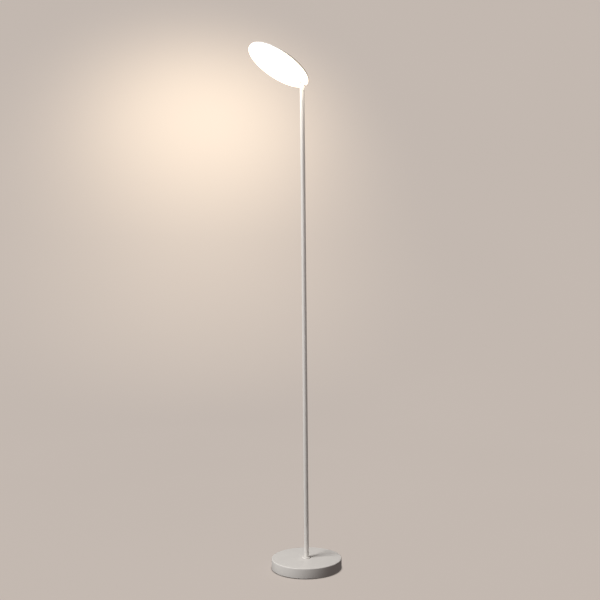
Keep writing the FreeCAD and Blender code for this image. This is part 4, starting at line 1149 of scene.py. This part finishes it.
@dataclass
class Head:
    """Disc head: housing, opal face, light strip's chips and the hinge's small parts, in millimetres."""

    radius: float = DISC.radius
    reach: float = DISC.reach
    inside: float = 113.5
    half: float = 4.0
    back_inside: float = 3.0
    corner_ease: float = 0.5
    edge: float = 2.0
    shoulder: float = -0.4
    shoulder_ease: float = 0.15
    tongue_top: float = 0.4
    tongue: float = 114.2
    face_back: float = -2.8
    face_edge: float = 0.8
    face_ease: float = 0.12
    middle_ring: float = 60.0
    gap: float = 0.1
    notch: float = 8.5
    notch_wall: float = 1.2
    notch_back: float = 8.7
    mouth_ease: float = 0.3
    corner: float = 1.5
    axle: float = 2.3
    studs: tuple[Point, ...] = ((-13.8, 6.8), (-13.8, -13.5), (13.8, 6.8), (13.8, -13.5))
    stud_ends: Point = (-2.5, 3.2)
    stud_tip: float = 1.2
    stud_thread: Thread = Thread(1.3, 1.5, -2.4, 1.4, 0.5)
    nut_width: float = 5.5
    nut_levels: Point = (-2.5, -0.7)
    nut_bore: float = 1.6
    chips: int = 48
    chip_start: float = 15.0
    chip_reach: float = 112.49
    chip_low: Corner = (-1.4, -0.6, -2.5)
    chip_high: Corner = (1.4, 0.6, -1.1)
    chip_rim: float = 0.18
    # Inset and depth of the well, and of the dome in it
    chip_well: Point = (0.1, -0.15)
    dome_low: Corner = (-1.1, -0.5, -2.2)
    dome_high: Corner = (1.1, -0.1, -1.4)
    dome_rise: Point = (0.25, 0.08)
    screw_ends: Point = (12.7, 20.2)
    screw_tip: float = 0.9
    screw_seat: float = 18.7
    screw_head: float = 2.5
    screw_thread: Thread = Thread(1.0, 1.25, 13.0, 18.4, 0.45)
    # Breaks of the head's lower and upper edge
    screw_edge: Point = (0.1, 0.3)
    key_radius: float = 1.0
    key_levels: Point = (19.2, 21.0)

    def onto_disc(self, blank: Blank) -> Blank:
        """Tilt a piece that was made about the disc's centre and bring it to its place."""
        return blank.move((-DISC.tilt, 0, 0), DISC.centre)

    def build(self) -> None:
        """Build every piece of the head."""
        self.build_housing()
        self.build_face()
        self.build_chips()
        self.build_nuts()
        self.build_screw()

    def build_housing(self) -> None:
        """Turn the housing, wall its notch, cut it open and drill it for the axle."""
        inside, ceiling, ease = self.inside, self.back_inside, self.shoulder_ease
        tongue, rebate = self.tongue + self.gap, self.tongue_top + self.gap
        shell = Blank.turned("housing", [
            (0, ceiling), (inside - self.corner_ease, ceiling), (inside, ceiling - self.corner_ease),
            (inside, rebate), (tongue, rebate), (tongue, self.shoulder), (self.radius - ease, self.shoulder),
            (self.radius, self.shoulder + ease),
            *arc((self.radius - self.edge, self.half - self.edge), self.edge, 0, 90, 12),
            (self.middle_ring, self.half), (0, self.half)], steps=256)
        outside = self.notch + self.notch_wall
        heel = self.reach - self.notch_back - self.notch_wall
        mouth = math.sqrt(self.radius ** 2 - outside ** 2) - self.mouth_ease
        shell.carve(Blank.block("notch_wall", (-outside, heel, -self.half),
                                (outside, mouth, ceiling + self.gap)), "UNION")
        for across, away in self.studs:
            shell.carve(self.weld_stud().move(to=(across, self.reach + away, 0)), "UNION")
        shell.carve(self.notch_tool())
        drill = Blank.prism("drill", 40, self.axle, -outside - PAST, outside + PAST)
        shell.carve(drill.move((0, math.pi / 2, 0), (0, self.reach, 0)))
        self.onto_disc(shell).paint(Finish.COAT)
        shell.finish(Body.HEAD, Slot.ALUMINIUM, "head_housing", sharp=30)

    def weld_stud(self) -> Blank:
        """Turn one threaded stud that holds the hinge block."""
        tip, foot = self.stud_ends
        return Blank.turned("weld_stud", [(0, tip), (self.stud_tip, tip), *self.stud_thread.points(),
                                          (self.stud_thread.crest, foot), (0, foot)], steps=24)

    def notch_tool(self) -> Blank:
        """Make the cutter of the notch, with round inner corners.

        Returns:
            The new piece.
        """
        tool = Blank.block("notch_tool", (-self.notch, self.reach - self.notch_back, -self.half - PAST),
                           (self.notch, self.radius + FAR_PAST, self.half + PAST))
        tool.edit("EDGE", "DESELECT")
        bpy.ops.object.mode_set(mode="OBJECT")
        points = tool.piece.data.vertices
        for edge in tool.piece.data.edges:
            one, other = (points[index].co for index in edge.vertices)
            edge.select = abs(one.z - other.z) > self.half * MM and one.y < self.reach * MM
        bpy.ops.object.mode_set(mode="EDIT")
        bpy.ops.mesh.bevel(offset=self.corner * MM, segments=6, affect="EDGES")
        start_fresh()
        return tool

    def build_face(self) -> None:
        """Turn the opal face with its rim and tongue, and cut its bay."""
        low, back, edge = -self.half, self.face_back, self.face_edge
        face = Blank.turned("opal_face", [
            (0, low), (self.middle_ring, low), *arc((self.radius - edge, low + edge), edge, -90, 0, 8),
            (self.radius, self.shoulder - self.face_ease), (self.radius - self.face_ease, self.shoulder),
            (self.tongue, self.shoulder), (self.tongue, self.tongue_top), (self.inside, self.tongue_top),
            (self.inside, back), (0, back)], steps=256)
        half = self.notch + self.notch_wall + self.gap
        heel = self.reach - self.notch_back - self.notch_wall - self.gap
        face.carve(Blank.block("bay", (-half, heel, low - PAST),
                               (half, self.radius + FAR_PAST, self.half + PAST)))
        self.onto_disc(face).paint(Finish.OPAL)
        face.finish(Body.HEAD, Slot.OPAL, "diffuser", sharp=30)

    def build_chips(self) -> None:
        """Build one light chip with its phosphor dome and copy it round the strip."""
        case = Blank.block("chip_row", self.chip_low, self.chip_high)
        case.pick_faces(lambda centre, normal: normal.y < -0.5)
        case.inset(self.chip_rim)
        case.inset(*self.chip_well)
        start_fresh()
        case.paint(Finish.REFLECTOR)
        dome = Blank.block("phosphor", self.dome_low, self.dome_high)
        dome.pick_faces(lambda centre, normal: normal.y < -0.5)
        dome.inset(*self.dome_rise)
        start_fresh()
        case.join([dome.paint(Finish.PHOSPHOR)]).move(to=(0, self.chip_reach, 0))
        step = (360 - 2 * self.chip_start) / (self.chips - 1)
        case.repeat([{"turn": (0, 0, math.radians(self.chip_start + step * index))}
                     for index in range(self.chips)])
        self.onto_disc(case).finish(Body.HEAD, Slot.PHOSPHOR, "led_chips")

    def build_nuts(self) -> None:
        """Build one thin nut of the hinge block and copy it to the four studs."""
        pitch = self.stud_thread.pitch
        nut = HexagonNut("block_nuts", self.nut_width, *self.nut_levels, self.nut_bore, pitch).build()
        nut.repeat([{"to": (across, away, 0)} for across, away in self.studs])
        nut.move((-DISC.tilt, 0, 0), (0, 0, DISC.hinge)).paint(Finish.STEEL)
        nut.finish(Body.HEAD, Slot.STEEL, "hinge_block_nuts")

    def build_screw(self) -> None:
        """Turn the tension screw and sink its hexagon socket."""
        (tip, top), seat, head = self.screw_ends, self.screw_seat, self.screw_head
        under, over = self.screw_edge
        screw = Blank.turned("drag_screw", [
            (0, tip), (self.screw_tip, tip), *self.screw_thread.points(), (self.screw_thread.crest, seat),
            (head - under, seat), (head, seat + under), (head, top - over), (head - over, top),
            (0, top)], steps=40)
        screw.carve(Blank.prism("key", 6, self.key_radius, *self.key_levels))
        screw.move((0, -math.pi / 2, 0), (0, 0, DISC.hinge)).paint(Finish.STEEL)
        screw.finish(Body.SWIVEL, Slot.STEEL, "tension_screw")


@dataclass(frozen=True)
class Dressing:
    """Finishes of the carried-over nodes that no new piece replaces."""

    rows: tuple[tuple[Finish, tuple[str, ...]], ...] = (
        (Finish.COAT, ("tilt_knuckle",)),
        (Finish.IRON, ("base_weight",)),
        (Finish.ROLLED, ("base_plate",)),
        (Finish.STEEL, ("foot_washer", "foot_lock_washer", "pole_insert_lower", "pole_insert_middle",
                        "pole_insert_upper", "pole_joiner_lower", "pole_joiner_middle",
                        "swivel_stop_pin", "swivel_spring_washer", "swivel_nut", "tilt_axle",
                        "tension_washer", "hinge_block")),
        (Finish.BLACK, ("driver_case", "driver_lid")),
        (Finish.NATURAL, ("lead_clip", "swivel_bush", "friction_washer_left", "friction_washer_right")),
        (Finish.BOARD, ("driver_board",)),
        (Finish.JACKET, ("inlet_lead", "pole_lead", "knuckle_lead", "head_lead")),
        (Finish.BRASS, ("dc_centre_pin",)),
        (Finish.FOAM, ("backing_foam",)),
        (Finish.REFLECTOR, ("reflector_sheet", "led_strip")),
        (Finish.GUIDE, ("light_guide",)),
    )

    def dress_all(self) -> None:
        """Give every such node its finish."""
        for finish, nodes in self.rows:
            for node in nodes:
                self.dress(frame["nodes"][node], finish)
                LOG.info("dressed %s", node)

    def dress(self, piece: bpy.types.Object, finish: Finish) -> None:
        """Put a finish in all slots of a carried-over piece.

        Args:
            piece: The piece.
            finish: Its finish.
        """
        if not piece.material_slots:
            piece.data.materials.append(None)
        for slot in piece.material_slots:
            slot.material = finish.value.material


# Studio


@dataclass(frozen=True)
class AreaLight:
    """Soft light, round or as an ellipse, that the camera doesn't see. Lengths are in metres."""

    name: str
    place: Corner
    aim: Corner
    size: float
    power: float
    colour: Colour
    leaves_out: tuple[str, ...] = ()
    reaches_only: tuple[str, ...] = ()
    height: float | None = None
    spread: float = math.pi
    glossy: bool = True

    def hang(self) -> None:
        """Hang the light, turn it to its aim and tell it what it reaches."""
        lamp = bpy.data.lights.new(self.name, "AREA")
        lamp.shape = "DISK"
        lamp.size = self.size
        lamp.energy = self.power
        lamp.color = self.colour
        lamp.spread = self.spread
        if self.height is not None:
            lamp.shape = "ELLIPSE"
            lamp.size_y = self.height
        made = bpy.data.objects.new(self.name, lamp)
        bpy.context.scene.collection.objects.link(made)
        made.rotation_mode = "QUATERNION"
        made.location = self.place
        made.rotation_quaternion = (Vector(self.aim) - Vector(self.place)).to_track_quat("-Z", "Y")
        made.visible_camera = False
        made.visible_glossy = self.glossy
        if self.leaves_out or self.reaches_only:
            made.light_linking.receiver_collection = self.receivers()

    def receivers(self) -> bpy.types.Collection:
        """List what the light reaches only, or what it leaves out.

        Returns:
            The list, a collection outside the scene.
        """
        lit = bpy.data.collections.new("lit")
        for name in self.leaves_out or self.reaches_only:
            lit.objects.link(bpy.data.objects[name])
        for row in lit.collection_objects:
            row.light_linking.link_state = "EXCLUDE" if self.leaves_out else "INCLUDE"
        return lit


@dataclass
class Studio:
    """Seamless round backdrop, camera and lights. Lengths are in metres."""

    reach: float = 4.6
    cove: float = 1.4
    height: float = 6.5
    steps: int = 96
    bends: int = 12
    camera_place: Corner = (2.7764, -1.0172, 0.9611)
    look: Corner = (-0.94052, 0.33946, -0.01376)
    roll: float = math.radians(0.546)
    lens: float = 51.83
    sensor: float = 36.0
    sky: Colour = (1.0, 0.86, 0.82)
    sky_strength: float = 0.115
    lights: tuple[AreaLight, ...] = (
        AreaLight("key_light", (0.72, -3.78, 4.3), (0, 0, 0.6), 3.0, 306, (1.0, 0.98, 0.955),
                  ("backdrop",)),
        AreaLight("fill_light", (0.96, 1.78, 1.5), (0, 0, 1.1), 1.2, 7.5, (1.0, 0.90, 0.82),
                  ("backdrop", "cover", "collar")),
        AreaLight("pole_top_light", (0.095, 0.176, 1.63), (0, 0, 1.63), 0.1, 0.11, (1.0, 0.90, 0.80),
                  reaches_only=("tube_upper", "tilt_knuckle")),
        AreaLight("glow_light", (-3.4, 0.62, 2.74), (-4.5, 0.72, 2.05), 1.6, 31.0, (1.0, 0.88, 0.68),
                  height=1.2, spread=math.radians(110)),
        AreaLight("back_light_high", (-2.8, 1.02, 3.6), (0, 0, 1.5), 1.5, 55, (1.0, 0.97, 0.93),
                  ("backdrop", "cover", "collar"), glossy=False),
        AreaLight("back_light_low", (-3.3, 1.19, 0.32), (0, 0, 0.5), 0.6, 24, (1.0, 0.97, 0.93),
                  ("backdrop",), glossy=False),
    )

    def build_backdrop(self) -> None:
        """Model the floor, the cove and the round wall in one sheet, and keep it out of diffuse, glossy and
        shadow rays.
        """
        start_fresh()
        radius, level = self.reach - self.cove, 0.0
        bpy.ops.mesh.primitive_circle_add(vertices=self.steps, radius=radius, fill_type="NGON")
        sheet = bpy.context.object
        sheet.name = "backdrop"
        bpy.ops.object.mode_set(mode="EDIT")
        bpy.ops.mesh.select_all(action="SELECT")
        bpy.ops.mesh.select_mode(type="EDGE")
        for bend in range(1, self.bends + 1):
            angle = math.pi / 2 * bend / self.bends
            wider = self.reach - self.cove + self.cove * math.sin(angle)
            higher = self.cove * (1 - math.cos(angle))
            self.grow_wall(wider / radius, higher - level)
            radius, level = wider, higher
        self.grow_wall(1.0, self.height - level)
        bpy.ops.mesh.select_all(action="SELECT")
        bpy.ops.mesh.normals_make_consistent(inside=True)
        bpy.ops.object.mode_set(mode="OBJECT")
        bpy.ops.object.shade_smooth()
        sheet.data.materials.append(Backdrop().material)
        sheet.visible_diffuse = False
        sheet.visible_glossy = False
        sheet.visible_shadow = False

    def grow_wall(self, factor: float, rise: float) -> None:
        """Extrude the open edge of the backdrop outwards by a factor, and upwards."""
        bpy.ops.mesh.extrude_edges_move(TRANSFORM_OT_translate={"value": (0, 0, rise)})
        bpy.ops.transform.resize(value=(factor, factor, 1), center_override=(0, 0, 0))

    def place_camera(self) -> None:
        """Set the camera at the photograph's viewpoint."""
        view = bpy.data.cameras.new("camera")
        view.lens = self.lens
        view.sensor_width = self.sensor
        camera = bpy.data.objects.new("camera", view)
        bpy.context.scene.collection.objects.link(camera)
        camera.rotation_mode = "QUATERNION"
        level = Vector(self.look).to_track_quat("-Z", "Y")
        camera.rotation_quaternion = level @ Matrix.Rotation(-self.roll, 3, "Z").to_quaternion()
        camera.location = self.camera_place
        bpy.context.scene.camera = camera

    def hang_lights(self) -> None:
        """Light the lamp softly from the left, lift its pole's shadow and put a warm glow on the wall."""
        bpy.context.scene.view_settings.view_transform = "Standard"
        world = bpy.data.worlds.new("studio")
        world.use_nodes = True
        sky = world.node_tree.nodes["Background"].inputs
        sky["Color"].default_value = (*self.sky, 1)
        sky["Strength"].default_value = self.sky_strength
        bpy.context.scene.world = world
        for light in self.lights:
            light.hang()


def main() -> None:
    """Build the studio and the lamp."""
    studio = Studio()
    studio.build_backdrop()
    studio.place_camera()
    Dressing().dress_all()
    for part in (Foot(), Inlet(), Driver(), Pole(), Head()):
        part.build()
    studio.hang_lights()


if __name__ == "__main__":
    main()
